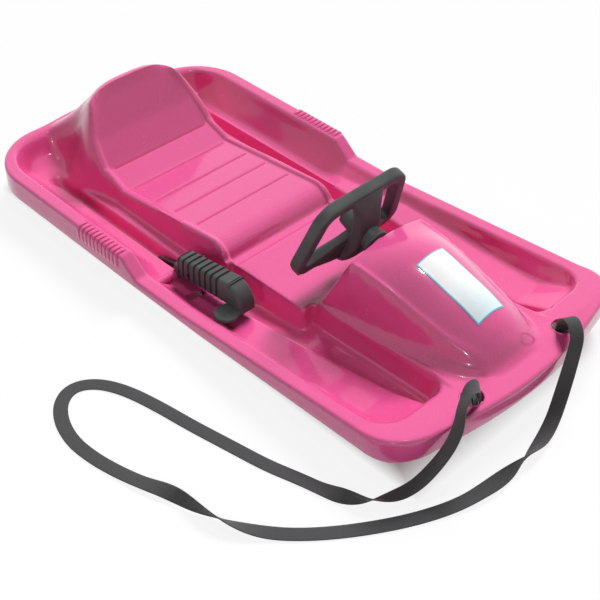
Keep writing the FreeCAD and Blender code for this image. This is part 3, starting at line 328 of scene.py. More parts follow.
# Rear and front ends of the seat, the deck and the tunnel
SEAT_ENDS = (-333, -6)
DECK_ENDS = (-42, 138)
TUNNEL_ENDS = (108, 392)

# Cowl: place along the sled, half width at its foot, its ridges' place and height, height of its crown
COWL = np.array([
    (186, 80, 71, 135, 148), (245, 84, 70, 124, 158), (305, 88, 67, 109, 145), (357, 88, 61, 96, 128),
    (388, 78, 52, 88, 111), (403, 64, 43, 83, 96), (411, 52, 35, 79, 83)], float)
COWL_FOOT = (138, 75, 74, 40.5, 41.5)
SIDE_SHARE = 0.62
FLANGE = 4.5
BEAD_RISE = 3.6
BEAD_INSET = 3
BEAD_SPREAD = 2.6

# A height below everything, and the height from which steep sides start
BELOW = -50.0
SIDE_BASE = -20


def between(x, ends, z):
    """A height between two places along the sled, and nothing beyond them."""
    return np.where((x > ends[0]) & (x < ends[1]), z, BELOW)


def steep_side(y, foot, shoulder, rise):
    """The height of a steep side that climbs by a rise from its foot to its shoulder."""
    return SIDE_BASE + rise * (foot - y) / (foot - shoulder)


def tub_height(x, y):
    """The foot troughs: across the sled, floor, channel, shelf and wall are straight ramps between stations,
    inside a plan with rounded corners; outside that plan it is the rim's own line."""
    sizes = [np.interp(x, TUB[:, 0], row) for row in TUB.T[1:]]
    foot, foot_z, edge, edge_z, inner, channel_z, inner_z = sizes
    sheer = np.interp(x, *SHEER)

    def ramp(low, high):
        return np.clip((y - low) / (high - low), 0, 1)

    z = inner_z + ramp(inner, inner + CHANNEL_SIDE) * (channel_z - inner_z)
    z = z + ramp(edge - CHANNEL_SIDE, edge) * (edge_z - channel_z)
    z = z + ramp(edge, foot) * (foot_z - edge_z) + ramp(foot, TROUGH_SIDE) * (sheer - foot_z)
    corner = np.where(x > 0, FRONT_CORNER, REAR_CORNER)
    end = np.where(x > 0, TROUGH_FRONT - x, x - TROUGH_REAR)
    past_x = np.maximum(corner - end, 0)
    past_y = np.maximum(y - (TROUGH_SIDE - corner), 0)
    into = corner - np.hypot(past_x, past_y)
    nook = INNER_CORNER - np.hypot(np.maximum(INNER_CORNER - end, 0), np.maximum(INNER_CORNER_Y - y, 0))
    nook = np.where((x > 340) & (y < 140), nook, INNER_CORNER)
    slope = np.clip(np.minimum(into / np.interp(x, (200, 330), (9, 5)), nook / 5), 0, 1)
    into = np.minimum(into, nook)
    z = np.minimum(z, sheer)
    return np.where(into <= 0, sheer, sheer + (z - sheer) * slope)


def back_height(x, y):
    """The backrest: across the sled, a power curve from its crest down to an edge line and a straight flank
    beyond it, all eased along the sled."""
    top, edge, edge_z, flank = [eased(x, BACK[:, 0], row) for row in BACK.T[1:]]
    crest = top - (top - edge_z) * (y / edge) ** CREST_POWER
    return between(x, (BACK[0, 0], BACK[-1, 0]), np.where(y < edge, crest, edge_z - flank * (y - edge)))


def seat_height(x, y):
    """The seat and deck: straight ramps along the sled with steep sides, and the panel let into them."""
    panel = np.interp(x, *PANEL)
    seat = np.minimum(np.where(x > -288, panel + 4, 58.0), steep_side(y, 122, 104, 100))
    deck = np.minimum(38.5 + 10 * (x - DECK_ENDS[0]) / 642, steep_side(y, 108, 100, 68.5))
    z = np.maximum(between(x, SEAT_ENDS, seat), between(x, DECK_ENDS, deck))
    z = np.maximum(z, back_height(x, y))
    places, half_widths = PANEL_EDGE
    half = np.interp(x, places, half_widths)
    return np.where((y < half) & (x > places[0]) & (x < places[-1]), np.minimum(z, panel), z)


def cowl_height(x, y, wider=0.0):
    """The cowl: a parabola between two ridges and hollow sides below them, its sizes eased along the sled;
    the rear end is a straight ramp up to the brow, and a bead runs along each ridge."""
    sizes = []
    for k in range(1, 5):
        ramp = np.interp(x, (COWL_FOOT[0], COWL[0, 0]), (COWL_FOOT[k], COWL[0, k]))
        sizes.append(np.where(x < COWL[0, 0], ramp, eased(x, COWL[:, 0], COWL[:, k])))
    base, ridge, ridge_z, crown_z = sizes
    base = base + wider
    ridge = ridge + wider
    crown = ridge_z + (crown_z - ridge_z) * (1 - (y / ridge) ** 2)
    foot = np.interp(x, (138, 350, 420), (40, 73, 76))
    t = np.clip((y - ridge) / np.maximum(SIDE_SHARE * (base - ridge), 1), 0, 1)
    side = np.where(t < 1, ridge_z - (ridge_z - foot) * (1 - (1 - t) ** 2), BELOW)
    bead = BEAD_RISE * np.exp(-0.5 * ((y - ridge + BEAD_INSET) / BEAD_SPREAD) ** 2)
    bead = bead * np.clip((x - 182) / 16, 0, 1) * np.clip((404 - x) / 20, 0, 1)
    return between(x, (COWL_FOOT[0] - wider, COWL[-1, 0] + wider), np.where(y < ridge, crown + bead, side))


def tunnel_height(x, y):
    """The raised tunnel under the cowl: a ramp with steep sides, and a low flange round the cowl."""
    rise = np.interp(x, (108, 350, 392), (37.5, 73, 74.5))
    foot = np.interp(x, (108, 350, 386), (86, 101, 104))
    shoulder = np.interp(x, (108, 350, 386), (77, 92, 95))
    z = between(x, TUNNEL_ENDS, np.minimum(rise, steep_side(y, foot, shoulder, 96)))
    flange = np.minimum(cowl_height(x, y, FLANGE), np.interp(x, (138, 350, 420), (46, 80.5, 83)))
    return np.maximum(z, flange)


def softened(heights, spread):
    """Heights on a one-millimetre grid, averaged with a bell curve both ways to round the edges."""
    reach = int(math.ceil(3 * spread))
    steps = np.arange(-reach, reach + 1)
    weights = np.exp(-0.5 * (steps / spread) ** 2)
    weights /= weights.sum()
    for axis in (0, 1):
        padded = np.pad(heights, [(reach, reach) if axis == k else (0, 0) for k in (0, 1)], mode="edge")
        size = heights.shape[axis]
        heights = sum(w * np.take(padded, np.arange(k, k + size), axis) for k, w in enumerate(weights))
    return heights


class Form:
    """The shell's softened height field, and where any point of the plan lies on it. The flanks beside the
    backrest's rear, where it runs into the troughs, are softened more widely than the rest."""

    def __init__(self, spread):
        self.x = np.arange(-462.0, 463.0)
        self.y = np.arange(-236.0, 237.0)
        x, y = np.meshgrid(self.x, np.abs(self.y), indexing="ij")
        z = np.maximum(np.maximum(tub_height(x, y), seat_height(x, y)),
                       np.maximum(tunnel_height(x, y), cowl_height(x, y)))
        close = softened(z, spread)
        wide = softened(z, 3 * spread)
        flank = np.clip((-340 - x) / 24, 0, 1) * np.clip((y - 72) / 20, 0, 1) * np.clip((192 - y) / 14, 0, 1)
        self.z = close + flank * (wide - close)

    def at(self, x, y):
        """Heights between the grid's points, by straight mixing of the four nearest."""
        i = np.clip(x - self.x[0], 0, len(self.x) - 1.001)
        j = np.clip(y - self.y[0], 0, len(self.y) - 1.001)
        a = i.astype(int)
        b = j.astype(int)
        u = i - a
        v = j - b
        z = self.z
        return ((1 - u) * (1 - v) * z[a, b] + u * (1 - v) * z[a + 1, b]
                + (1 - u) * v * z[a, b + 1] + u * v * z[a + 1, b + 1])


# Outline: the nose's bow, its slanted sides and corner arcs, then the rear end's corner arcs
NOSE = 447.5
BOW = 600
SLANT_START = 462.1
SLANT = 0.2222
SLANT_SINE = 0.217
SLANT_COSINE = math.cos(math.radians(12.53))
NOSE_CORNER = (362.4, 163.0)
NOSE_ROUND = 62.0
TAIL_CORNER = (-352.5, 130)
TAIL_ROUND = 95.0


def front_line(y, inset):
    """How far the outline, drawn in by an inset, reaches ahead at y: a bow, a slant, then a corner arc."""
    y = np.abs(y)
    bow = NOSE - BOW + np.sqrt((BOW - inset) ** 2 - y ** 2)
    slant = SLANT_START - inset / SLANT_COSINE - SLANT * y
    radius = NOSE_ROUND - inset
    arc = NOSE_CORNER[0] + np.sqrt(np.maximum(radius ** 2 - np.maximum(y - NOSE_CORNER[1], 0) ** 2, 0))
    end = np.where(y < (BOW - inset) * SLANT_SINE, bow, slant)
    return np.where(y > NOSE_CORNER[1] + radius * SLANT_SINE, arc, end)


def rear_line(y, inset):
    """How far the outline, drawn in by an inset, reaches back at y: a straight end, then a corner arc."""
    past = np.maximum(np.abs(y) - TAIL_CORNER[1], 0)
    return TAIL_CORNER[0] - np.sqrt((TAIL_ROUND - inset) ** 2 - past ** 2)


def clear_lines(lines, fixed):
    """Lines in order, without those that run within a millimetre of a fixed one."""
    lines = np.unique(np.round(np.concatenate(lines), 2))
    keep = np.ones(len(lines), bool)
    for edge in fixed:
        keep &= (np.abs(lines - edge) > 1.0) | (np.abs(lines - edge) < 0.01)
    return lines[keep]


# Stretches of lines along the sled and across it: first place, last place, step
LINES_ALONG = (
    (-330, 330.1, 3.4), (-46, 4, 2.0), (128, 150, 2.2), (176, 196, 2.0), (-108, -66, 2.6), (-300, -278, 2.6))
LINES_ACROSS = ((0, 54, 6.0), (54, 80, 2.2), (80, 100, 1.6), (100, 190, 2.3))
GROOVE_LINES = np.array([-2.4, -1.4, -0.7, 0.0, 0.7, 1.4, 2.4])
LEAST_STEP = 0.55


def plan_lines(coarse):
    """Lines of the shell's plan grid: along the sled, close together at the panel's top, the grooves, the
    seat's front and the brow; across it, close together outside the seat's middle and at the corners."""
    slot_ends = np.array(SLOTS)[:, :2].ravel()
    slot_sides = np.abs(np.array(SLOTS)[:, 2:]).ravel()
    x = [np.arange(*stretch) for stretch in LINES_ALONG]
    x = clear_lines(x + [groove + GROOVE_LINES for groove in SEAT_GROOVES] + [slot_ends], slot_ends)
    x = x[np.concatenate([[True], np.diff(x) > LEAST_STEP])]
    y = [np.arange(*stretch) for stretch in LINES_ACROSS]
    beside_rim = HALF_WIDTH - RIM_INSET - np.linspace(0, 1, 20) ** 1.7 * 28
    y = clear_lines(y + [slot_sides, beside_rim], slot_sides)
    y = np.concatenate([-y[:0:-1], y])
    ends = np.linspace(0, 1, 33)[1:]
    if coarse:
        x = x[::2]
        y = np.concatenate([y[:1], y[2:-2:2], y[-1:]])
        ends = ends[1::2]
    return x, y, ends


def shell_plan(coarse):
    """The plan grid, inset from the outline: straight lines over the middle, and end lines that spread evenly
    from the last straight one to the outline's own end. Across the tunnel the lines lean with its foot, and
    over the front of the troughs with the shelves' inner edges."""
    x, y, ends = plan_lines(coarse)
    front = front_line(y, RIM_INSET)
    rear = rear_line(y, RIM_INSET)
    ahead = x[-1] + ends[:, None] * (front - x[-1])[None]
    behind = x[0] + ends[::-1, None] * (rear - x[0])[None]
    plan_x = np.concatenate([behind, np.repeat(x[:, None], len(y), 1), ahead])
    by_tunnel = np.interp(np.abs(y), (54, 76, 104, 135.6), (0, 1, 1, 0))
    by_shelf = np.interp(np.abs(y), (108, 146, 154, 186), (0, 1, 1, 0))
    lean = by_tunnel * np.interp(plan_x, (130, 141, 350, 386, 420), (0, -5.5, 7.5, 7.5, 0))
    lean = lean + by_shelf * np.interp(plan_x, (20, 66, 190, 320, 380, 404), (0, -1, -12, -26, -27, 0))
    return plan_x, y[None] + np.sign(y) * lean


def border_order(rows, columns):
    """Numbers of a grid's border points, once round, anticlockwise from above."""
    number = np.arange(rows * columns).reshape(rows, columns)
    return np.concatenate([number[:-1, 0], number[-1, :-1], number[:0:-1, -1], number[0, :0:-1]])


def open_faces(faces, points, spare=0.0):
    """Faces left when those with their middles in a strap hole, or in a slot with spare room, are cut out."""
    middle = points[faces].mean(1)
    keep = np.ones(len(faces), bool)
    for x, y in STRAP_HOLES:
        keep &= np.hypot(middle[:, 0] - x, middle[:, 1] - y) > HOLE_RADIUS
    for rear, front, right, left in SLOTS:
        inside = (middle[:, 0] > rear - spare) & (middle[:, 0] < front + spare)
        keep &= ~(inside & (middle[:, 1] > right - spare) & (middle[:, 1] < left + spare))
    return faces[keep]


# Rings of the rim: distance in from the outline, the line that the height is counted from, rise over it
RIM_RINGS = (
    (4.4, "top", 0.0), (2.72, "top", -0.33), (1.29, "top", -1.29), (0.33, "top", -2.72), (0.0, "top", -4.4),
    (0.0, "top", -7.0), (0.0, "middle", 0.0), (0.0, "skirt", 2.5), (0.4, "skirt", 0.6), (1.5, "skirt", 0.0),
    (2.6, "skirt", 0.6), (3.0, "skirt", 2.5), (3.0, "top", -7.0), (4.5, "top", -3.8), (7.0, "top", -3.0))


def rim_rings(loop):
    """The rim outside the plan grid: rings that round the top edge, drop down the flange, turn round the
    skirt's edge and come back up inside, set off along the border's own outward direction."""
    along = unit((np.roll(loop, -1, 0) - np.roll(loop, 1, 0))[:, :2])
    outward = np.stack([along[:, 1], -along[:, 0]], -1)
    skirt = np.interp(loop[:, 0], *SKIRT)
    levels = {"top": loop[:, 2], "skirt": skirt, "middle": (loop[:, 2] + skirt) / 2 - 2}
    rings = [loop]
    for inset, level, rise in RIM_RINGS:
        plan = loop[:, :2] + outward * (RIM_INSET - inset)
        rings.append(np.concatenate([plan, (levels[level] + rise)[:, None]], 1))
    return np.stack(rings)


# Section of a strap hole's rolled edge: distance from the hole's middle, rise over the surface
LIP = np.array([
    (17.2, -0.5), (16.9, 0.25), (16.1, 0.7), (15.2, 0.6), (14.6, 0.0), (14.4, -1.2), (14.3, -7.0),
    (14.2, -14.0)])


def hole_lips(form):
    """The rolled edges of the strap holes: a half-round ring on the surface and a short wall inside it."""
    angle = np.linspace(0, 2 * np.pi, 64, endpoint=False)
    pieces = []
    for x, y in STRAP_HOLES:
        px = x + LIP[:, None, 0] * np.cos(angle)
        py = y + LIP[:, None, 0] * np.sin(angle)
        pz = form.at(px, py) + LIP[:, None, 1]
        pieces.append((np.stack([px, py, pz], -1), grid_faces(len(LIP), len(angle), close_columns=True)))
    return pieces


def slot_walls(form, wall):
    """The cut edges of the two slots: a strip once round each, from the upper surface to the lower one."""
    t = np.linspace(0, 1, 12)
    still = np.ones(12)
    pieces = []
    for rear, front, right, left in SLOTS:
        ahead = (front - rear) * t
        across = (left - right) * t
        x = np.concatenate([rear + ahead, front * still, front - ahead, rear * still])
        y = np.concatenate([right * still, right + across, left * still, left - across])
        z = form.at(x, y)
        rows = np.stack([np.stack([x, y, z], -1), np.stack([x, y, z - wall], -1)])
        pieces.append((rows, grid_faces(2, len(x), close_columns=True)[:, ::-1]))
    return pieces


# Finishes


def fresh_group(name, inputs, outputs):
    """An empty shader node group with named value or colour sockets."""
    group = bpy.data.node_groups.new(name, "ShaderNodeTree")
    for kind, label, value in inputs:
        socket = group.interface.new_socket(name=label, in_out="INPUT", socket_type=kind)
        socket.default_value = value
    for kind, label in outputs:
        group.interface.new_socket(name=label, in_out="OUTPUT", socket_type=kind)
    return group, group.nodes.new("NodeGroupInput"), group.nodes.new("NodeGroupOutput")


def noise(tree, where, scale, detail=2.0, roughness=0.5):
    """A noise texture at one scale on the given coordinates."""
    node = tree.nodes.new("ShaderNodeTexNoise")
    node.inputs["Scale"].default_value = scale
    node.inputs["Detail"].default_value = detail
    node.inputs["Roughness"].default_value = roughness
    tree.links.new(where, node.inputs["Vector"])
    return node.outputs["Fac"]


def remap(tree, value, low, high, to_low, to_high):
    """A value range carried to another one, clamped."""
    node = tree.nodes.new("ShaderNodeMapRange")
    node.inputs["From Min"].default_value = low
    node.inputs["From Max"].default_value = high
    node.inputs["To Min"].default_value = to_low
    node.inputs["To Max"].default_value = to_high
    tree.links.new(value, node.inputs["Value"])
    return node.outputs["Result"]


def sum_of(tree, kind, first, second):
    """A maths node of two values, each a socket or a number."""
    node = tree.nodes.new("ShaderNodeMath")
    node.operation = kind
    for socket, value in zip(node.inputs, (first, second)):
        if isinstance(value, (int, float)):
            socket.default_value = value
        else:
            tree.links.new(value, socket)
    return node.outputs[0]


def blended(tree, share, first, second, kind="MIX"):
    """Two colours mixed by a share; each is a socket or a colour."""
    node = tree.nodes.new("ShaderNodeMix")
    node.data_type = "RGBA"
    node.blend_type = kind
    for name, value in (("Factor", share), ("A", first), ("B", second)):
        socket = [s for s in node.inputs if s.name == name and (name == "Factor" or s.type == "RGBA")][0]
        if isinstance(value, (int, float, tuple)):
            socket.default_value = value
        else:
            tree.links.new(value, socket)
    return [s for s in node.outputs if s.type == "RGBA"][0]


def pearl_group():
    """Pearly moulded plastic: fine bright flakes, a slow drift of colour, and a slightly uneven gloss."""
    group, given, result = fresh_group(
        "pearl_flakes",
        [("NodeSocketColor", "Colour", (0.8, 0.1, 0.3, 1)),
         ("NodeSocketColor", "Flake", (0.95, 0.3, 0.55, 1)),
         ("NodeSocketFloat", "Flake Share", 0.35)],
        [("NodeSocketColor", "Colour"), ("NodeSocketFloat", "Roughness"), ("NodeSocketFloat", "Height")])
    where = group.nodes.new("ShaderNodeTexCoord").outputs["Object"]
    flakes = remap(group, noise(group, where, 1500, 1.0), 0.5, 0.72, 0.0, 1.0)
    drift = remap(group, noise(group, where, 7, 3.0), 0.3, 0.7, 0.0, 1.0)
    share = sum_of(group, "MULTIPLY", flakes, given.outputs["Flake Share"])
    deeper = remap(group, drift, 0, 1, 0.0, 0.07)
    deep = blended(group, deeper, given.outputs["Colour"], (0.55, 0.03, 0.2, 1.0))
    group.links.new(blended(group, share, deep, given.outputs["Flake"]), result.inputs["Colour"])
    scuff = noise(group, where, 34, 4.0, 0.6)
    group.links.new(remap(group, scuff, 0.35, 0.7, 0.24, 0.28), result.inputs["Roughness"])
    group.links.new(noise(group, where, 260, 2.0), result.inputs["Height"])
    return group


def grain_group():
    """Matt moulded plastic: a fine pebbled grain, paler where it is rubbed, and an uneven sheen."""
    group, given, result = fresh_group(
        "moulded_grain",
        [("NodeSocketColor", "Colour", (0.06, 0.06, 0.06, 1)), ("NodeSocketFloat", "Grain Scale", 900.0),
         ("NodeSocketFloat", "Rubbed", 0.3)],
        [("NodeSocketColor", "Colour"), ("NodeSocketFloat", "Roughness"), ("NodeSocketFloat", "Height")])
    where = group.nodes.new("ShaderNodeTexCoord").outputs["Object"]
    grain = group.nodes.new("ShaderNodeTexVoronoi")
    group.links.new(where, grain.inputs["Vector"])
    group.links.new(given.outputs["Grain Scale"], grain.inputs["Scale"])
    rub = remap(group, noise(group, where, 26, 5.0, 0.62), 0.42, 0.72, 0.0, 1.0)
    share = sum_of(group, "MULTIPLY", rub, given.outputs["Rubbed"])
    paler = blended(group, 1.0, given.outputs["Colour"], (2.1, 2.1, 2.1, 1.0), "MULTIPLY")
    group.links.new(blended(group, share, given.outputs["Colour"], paler), result.inputs["Colour"])
    group.links.new(remap(group, rub, 0, 1, 0.56, 0.43), result.inputs["Roughness"])
    group.links.new(grain.outputs["Distance"], result.inputs["Height"])
    return group


def plain_material(name, metallic=0.0, coat=0.0, coat_roughness=0.1, sheen=0.0, specular=0.5):
    """A material with one Principled shader, its fixed values on the shader's own sockets."""
    material = bpy.data.materials.new(name)
    material.use_nodes = True
    shader = material.node_tree.nodes["Principled BSDF"]
    shader.inputs["Metallic"].default_value = metallic
    shader.inputs["Coat Weight"].default_value = coat
    shader.inputs["Coat Roughness"].default_value = coat_roughness
    shader.inputs["Sheen Weight"].default_value = sheen
    shader.inputs["Specular IOR Level"].default_value = specular
    return material, material.node_tree, shader


def dressed(tree, shader, group, values, bump, distance):
    """A group placed in a material and joined to its shader's colour, roughness and bump."""
    node = tree.nodes.new("ShaderNodeGroup")
    node.node_tree = group
    for label, value in values.items():
        node.inputs[label].default_value = value
    tree.links.new(node.outputs["Colour"], shader.inputs["Base Color"])
    tree.links.new(node.outputs["Roughness"], shader.inputs["Roughness"])
    raised = tree.nodes.new("ShaderNodeBump")
    raised.inputs["Strength"].default_value = bump
    raised.inputs["Distance"].default_value = distance
    tree.links.new(node.outputs["Height"], raised.inputs["Height"])
    tree.links.new(raised.outputs["Normal"], shader.inputs["Normal"])
    return node


def pink_finish(colours):
    """Glossy pearly pink of the shell."""
    material, tree, shader = plain_material("pearly_pink", coat=0.7, coat_roughness=0.08, specular=0.3)
    values = {"Colour": tuple(colours.shell), "Flake": (0.93, 0.24, 0.50, 1.0), "Flake Share": 0.34}
    dressed(tree, shader, bpy.data.node_groups["pearl_flakes"], values, 0.02, 0.0003)
    return material


def grained_finish(name, colour, scale, rubbed, bump):
    """Satin moulded plastic with a pebbled grain."""
    material, tree, shader = plain_material(name, specular=0.4)
    values = {"Colour": tuple(colour), "Grain Scale": scale, "Rubbed": rubbed}
    dressed(tree, shader, bpy.data.node_groups["moulded_grain"], values, bump, 0.0004)
    return material


def steel_finish(name, dull, bright):
    """Steel: drawn streaks along the sled, duller spots."""
    material, tree, shader = plain_material(name, metallic=1.0)
    where = tree.nodes.new("ShaderNodeTexCoord").outputs["Object"]
    stretch = tree.nodes.new("ShaderNodeMapping")
    stretch.inputs["Scale"].default_value = (40.0, 900.0, 900.0)
    tree.links.new(where, stretch.inputs["Vector"])
    streaks = noise(tree, stretch.outputs["Vector"], 1.0, 3.0)
    spots = noise(tree, where, 60, 3.0)
    tree.links.new(blended(tree, spots, dull, bright), shader.inputs["Base Color"])
    tree.links.new(remap(tree, streaks, 0.3, 0.7, 0.24, 0.42), shader.inputs["Roughness"])
    return material


def webbing_finish(colours):
    """Woven webbing: two crossed sets of ridges on the strap's length and width, the colour paler on their
    crowns and darker between them.
    """
    material, tree, shader = plain_material("woven_strap", sheen=0.15, specular=0.25)
    place = tree.nodes.new("ShaderNodeUVMap").outputs["UV"]
    axes = tree.nodes.new("ShaderNodeSeparateXYZ")
    tree.links.new(place, axes.inputs["Vector"])
    along = sum_of(tree, "SINE", sum_of(tree, "MULTIPLY", axes.outputs["X"], 3600.0), 0.0)
    across = sum_of(tree, "MULTIPLY", axes.outputs["Y"], 5200.0)
    shifted = sum_of(tree, "ADD", across, sum_of(tree, "MULTIPLY", along, 1.2))
    weave = sum_of(tree, "MULTIPLY", along, sum_of(tree, "SINE", shifted, 0.0))
    height = remap(tree, weave, -1, 1, 0, 1)
    where = tree.nodes.new("ShaderNodeTexCoord").outputs["Object"]
    fuzz = noise(tree, where, 700, 3.0)
    # The colour follows the weave's height: paler on its crowns, darker in the hollows between them
    share = sum_of(tree, "MULTIPLY", height, remap(tree, fuzz, 0.3, 0.7, 0.35, 0.85))
    dark = tuple(colours.webbing)
    pale = tuple(min(1.0, 1.9 * c) for c in dark[:3]) + (1.0,)
    tree.links.new(blended(tree, share, dark, pale), shader.inputs["Base Color"])
    tree.links.new(remap(tree, fuzz, 0.3, 0.7, 0.72, 0.9), shader.inputs["Roughness"])
    raised = tree.nodes.new("ShaderNodeBump")
    raised.inputs["Strength"].default_value = 0.5
    raised.inputs["Distance"].default_value = 0.0003
    tree.links.new(height, raised.inputs["Height"])
    tree.links.new(raised.outputs["Normal"], shader.inputs["Normal"])
    return material


def label_finish(colours):
    """Blank printed film: white fading to pale blue along it, inside a thin blue border."""
    material, tree, shader = plain_material("blank_film", coat=0.6, coat_roughness=0.05)
    axes = tree.nodes.new("ShaderNodeSeparateXYZ")
    tree.links.new(tree.nodes.new("ShaderNodeUVMap").outputs["UV"], axes.inputs["Vector"])
    long_way = sum_of(tree, "ABSOLUTE", sum_of(tree, "SUBTRACT", axes.outputs["X"], 0.5), 0.0)
    short_way = sum_of(tree, "ABSOLUTE", sum_of(tree, "SUBTRACT", axes.outputs["Y"], 0.5), 0.0)
    edge = sum_of(tree, "MAXIMUM", sum_of(tree, "GREATER_THAN", long_way, 0.484),
                  sum_of(tree, "GREATER_THAN", short_way, 0.466))
    fade = remap(tree, axes.outputs["X"], 0.4, 1.0, 0.0, 0.7)
    where = tree.nodes.new("ShaderNodeTexCoord").outputs["Object"]
    uneven = noise(tree, where, 90, 3.0)
    film = blended(tree, fade, (1.0, 1.0, 1.0, 1.0), tuple(colours.label))
    film = blended(tree, remap(tree, uneven, 0.3, 0.7, 0.0, 0.03), film, (0.7, 0.8, 0.85, 1.0))
    tree.links.new(blended(tree, edge, film, tuple(colours.label_edge)), shader.inputs["Base Color"])
    tree.links.new(remap(tree, uneven, 0.3, 0.7, 0.2, 0.3), shader.inputs["Roughness"])
    return material


# Operators


class SLED_OT_stage(bpy.types.Operator):
    """Camera at the photograph's angle, pale floor, white surroundings and soft lamps."""
    bl_idname = "sled.stage"
    bl_label = "Stage"

    def execute(self, context):
        scene = context.scene
        scene.view_settings.view_transform = "Standard"
        self.camera(scene)
        self.lamps(scene)
        self.surroundings(scene)
        self.floor(scene)
        return {"FINISHED"}

    def camera(self, scene):
        """The camera where the photograph was taken from, rolled a little about its line of sight."""
        place = np.array(CAMERA_PLACE)
        ahead = unit(np.array(CAMERA_AIM) - place)
        right = unit(np.cross(ahead, (0.0, 0.0, 1.0)))
        up = np.cross(right, ahead)
        roll = math.radians(CAMERA_ROLL)
        rolled_right = math.cos(roll) * right + math.sin(roll) * up
        rolled_up = math.cos(roll) * up - math.sin(roll) * right
        camera = bpy.data.cameras.new("photo_camera")
        camera.lens = CAMERA_LENS
        camera.sensor_width = CAMERA_SENSOR
        eye = bpy.data.objects.new("photo_camera", camera)
        scene.collection.objects.link(eye)
        matrix = np.eye(4)
        matrix[:3, :3] = np.stack([rolled_right, rolled_up, -ahead], 1)
        matrix[:3, 3] = place
        eye.matrix_world = Matrix(matrix.tolist())
        scene.camera = eye

    def lamps(self, scene):
        """A wide sun that mirrors don't show, and two small lamps that make the highlights."""
        for name, kind, where, size, power in LAMPS:
            lamp = bpy.data.lights.new(name, kind)
            lamp.energy = power
            if kind == "SUN":
                lamp.angle = math.radians(size)
            else:
                lamp.shape = "DISK"
                lamp.size = size
            holder = bpy.data.objects.new(name, lamp)
            holder.visible_glossy = kind == "AREA"
            scene.collection.objects.link(holder)
            holder.location = where
            aim = Vector(LAMP_AIM) - holder.location
            holder.rotation_euler = aim.to_track_quat("-Z", "Y").to_euler()

    def seen_directly(self, tree):
        """1 for camera, mirror and see-through rays, 0 for the light that falls on the object."""
        rays = tree.nodes.new("ShaderNodeLightPath")
        first = sum_of(tree, "MAXIMUM", rays.outputs["Is Camera Ray"], rays.outputs["Is Glossy Ray"])
        return sum_of(tree, "MAXIMUM", first, rays.outputs["Is Transmission Ray"])

    def surroundings(self, scene):
        """White where it is seen, a softer grey as light."""
        world = bpy.data.worlds.new("white_room")
        scene.world = world
        world.use_nodes = True
        tree = world.node_tree
        back = tree.nodes["Background"]
        strength = remap(tree, self.seen_directly(tree), 0, 1, 0.07, 1.0)
        tree.links.new(strength, back.inputs["Strength"])
        back.inputs["Color"].default_value = (1.0, 1.0, 1.0, 1.0)

    def floor(self, scene):
        """A flat pale floor that is nearly white where it is seen and keeps a faint shadow."""
        side = np.linspace(-6000, 6000, 9)
        x, y = np.meshgrid(side, side, indexing="ij")
        points = np.stack([x, y, np.zeros_like(x)], -1).reshape(-1, 3) / 1000
        mesh = bpy.data.meshes.new("pale_floor")
        mesh.from_pydata(points.tolist(), [], grid_faces(9, 9).tolist())
        floor = bpy.data.objects.new("pale_floor", mesh)
        scene.collection.objects.link(floor)
        material = bpy.data.materials.new("pale_floor")
        material.use_nodes = True
        tree = material.node_tree
        shader = tree.nodes["Principled BSDF"]
        shader.inputs["Roughness"].default_value = 0.9
        shader.inputs["Specular IOR Level"].default_value = 0.0
        where = tree.nodes.new("ShaderNodeTexCoord").outputs["Object"]
        tint = blended(tree, noise(tree, where, 3, 2.0), (0.86, 0.86, 0.86, 1), (0.9, 0.9, 0.9, 1))
        tree.links.new(tint, shader.inputs["Base Color"])
        bright = tree.nodes.new("ShaderNodeEmission")
        mix = tree.nodes.new("ShaderNodeMixShader")
        axes = tree.nodes.new("ShaderNodeSeparateXYZ")
        tree.links.new(where, axes.inputs["Vector"])
        ahead = sum_of(tree, "ABSOLUTE", axes.outputs["X"], 0.0)
        aside = sum_of(tree, "ABSOLUTE", axes.outputs["Y"], 0.0)
        beyond = sum_of(tree, "MAXIMUM", sum_of(tree, "DIVIDE", ahead, SHADED_FLOOR[0]),
                        sum_of(tree, "DIVIDE", aside, SHADED_FLOOR[1]))
        open_floor = remap(tree, beyond, 0.85, 1.0, 0.0, 0.88)
        share = sum_of(tree, "MULTIPLY", self.seen_directly(tree), open_floor)
        tree.links.new(share, mix.inputs["Fac"])
        tree.links.new(shader.outputs["BSDF"], mix.inputs[1])
        tree.links.new(bright.outputs["Emission"], mix.inputs[2])
        tree.links.new(mix.outputs["Shader"], tree.nodes["Material Output"].inputs["Surface"])
        mesh.materials.append(material)


class SLED_OT_finishes(bpy.types.Operator):
    """Materials of every kept solid, and those that the new pieces share."""
    bl_idname = "sled.finishes"
    bl_label = "Finishes"

    def execute(self, context):
        colours = context.scene.sled_colours
        pearl_group()
        grain_group()
        pink_finish(colours)
        grained_finish("dark_satin", colours.dark, 950.0, 0.35, 0.22)
        grained_finish("bearing_white", (0.70, 0.69, 0.64, 1.0), 700.0, 0.1, 0.08)
        steel_finish("plated_steel", (0.50, 0.51, 0.52, 1), (0.68, 0.69, 0.70, 1))
        steel_finish("blackened_steel", (0.060, 0.058, 0.058, 1), (0.11, 0.105, 0.10, 1))
        webbing_finish(colours)
        label_finish(colours)
        worn = {
            "pearly_pink": ("hull", "axle_spacers"),
            "dark_satin": ("steering_wheel", "brake_lever", "strap_stops", "steering_skid"),
            "bearing_white": ("upper_column_bush", "lower_column_bush", "crank_ball", "kingpin_bush"),
            "plated_steel": (
                "wheel_screw", "steering_column", "column_clip", "column_bracket", "bracket_screws",
                "kingpin", "kingpin_washers", "kingpin_nut"),
            "blackened_steel": ("brake_claw", "claw_rivets", "brake_axle", "axle_caps"),
            "woven_strap": ("tow_strap",),
            "blank_film": ("blank_label",)}
        missing = set(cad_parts)
        for finish, nodes in worn.items():
            for node in nodes:
                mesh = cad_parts[node].data
                mesh.materials.clear()
                mesh.materials.append(bpy.data.materials[finish])
                missing.discard(node)
        if missing:
            raise RuntimeError("no finish for " + ", ".join(sorted(missing)))
        return {"FINISHED"}


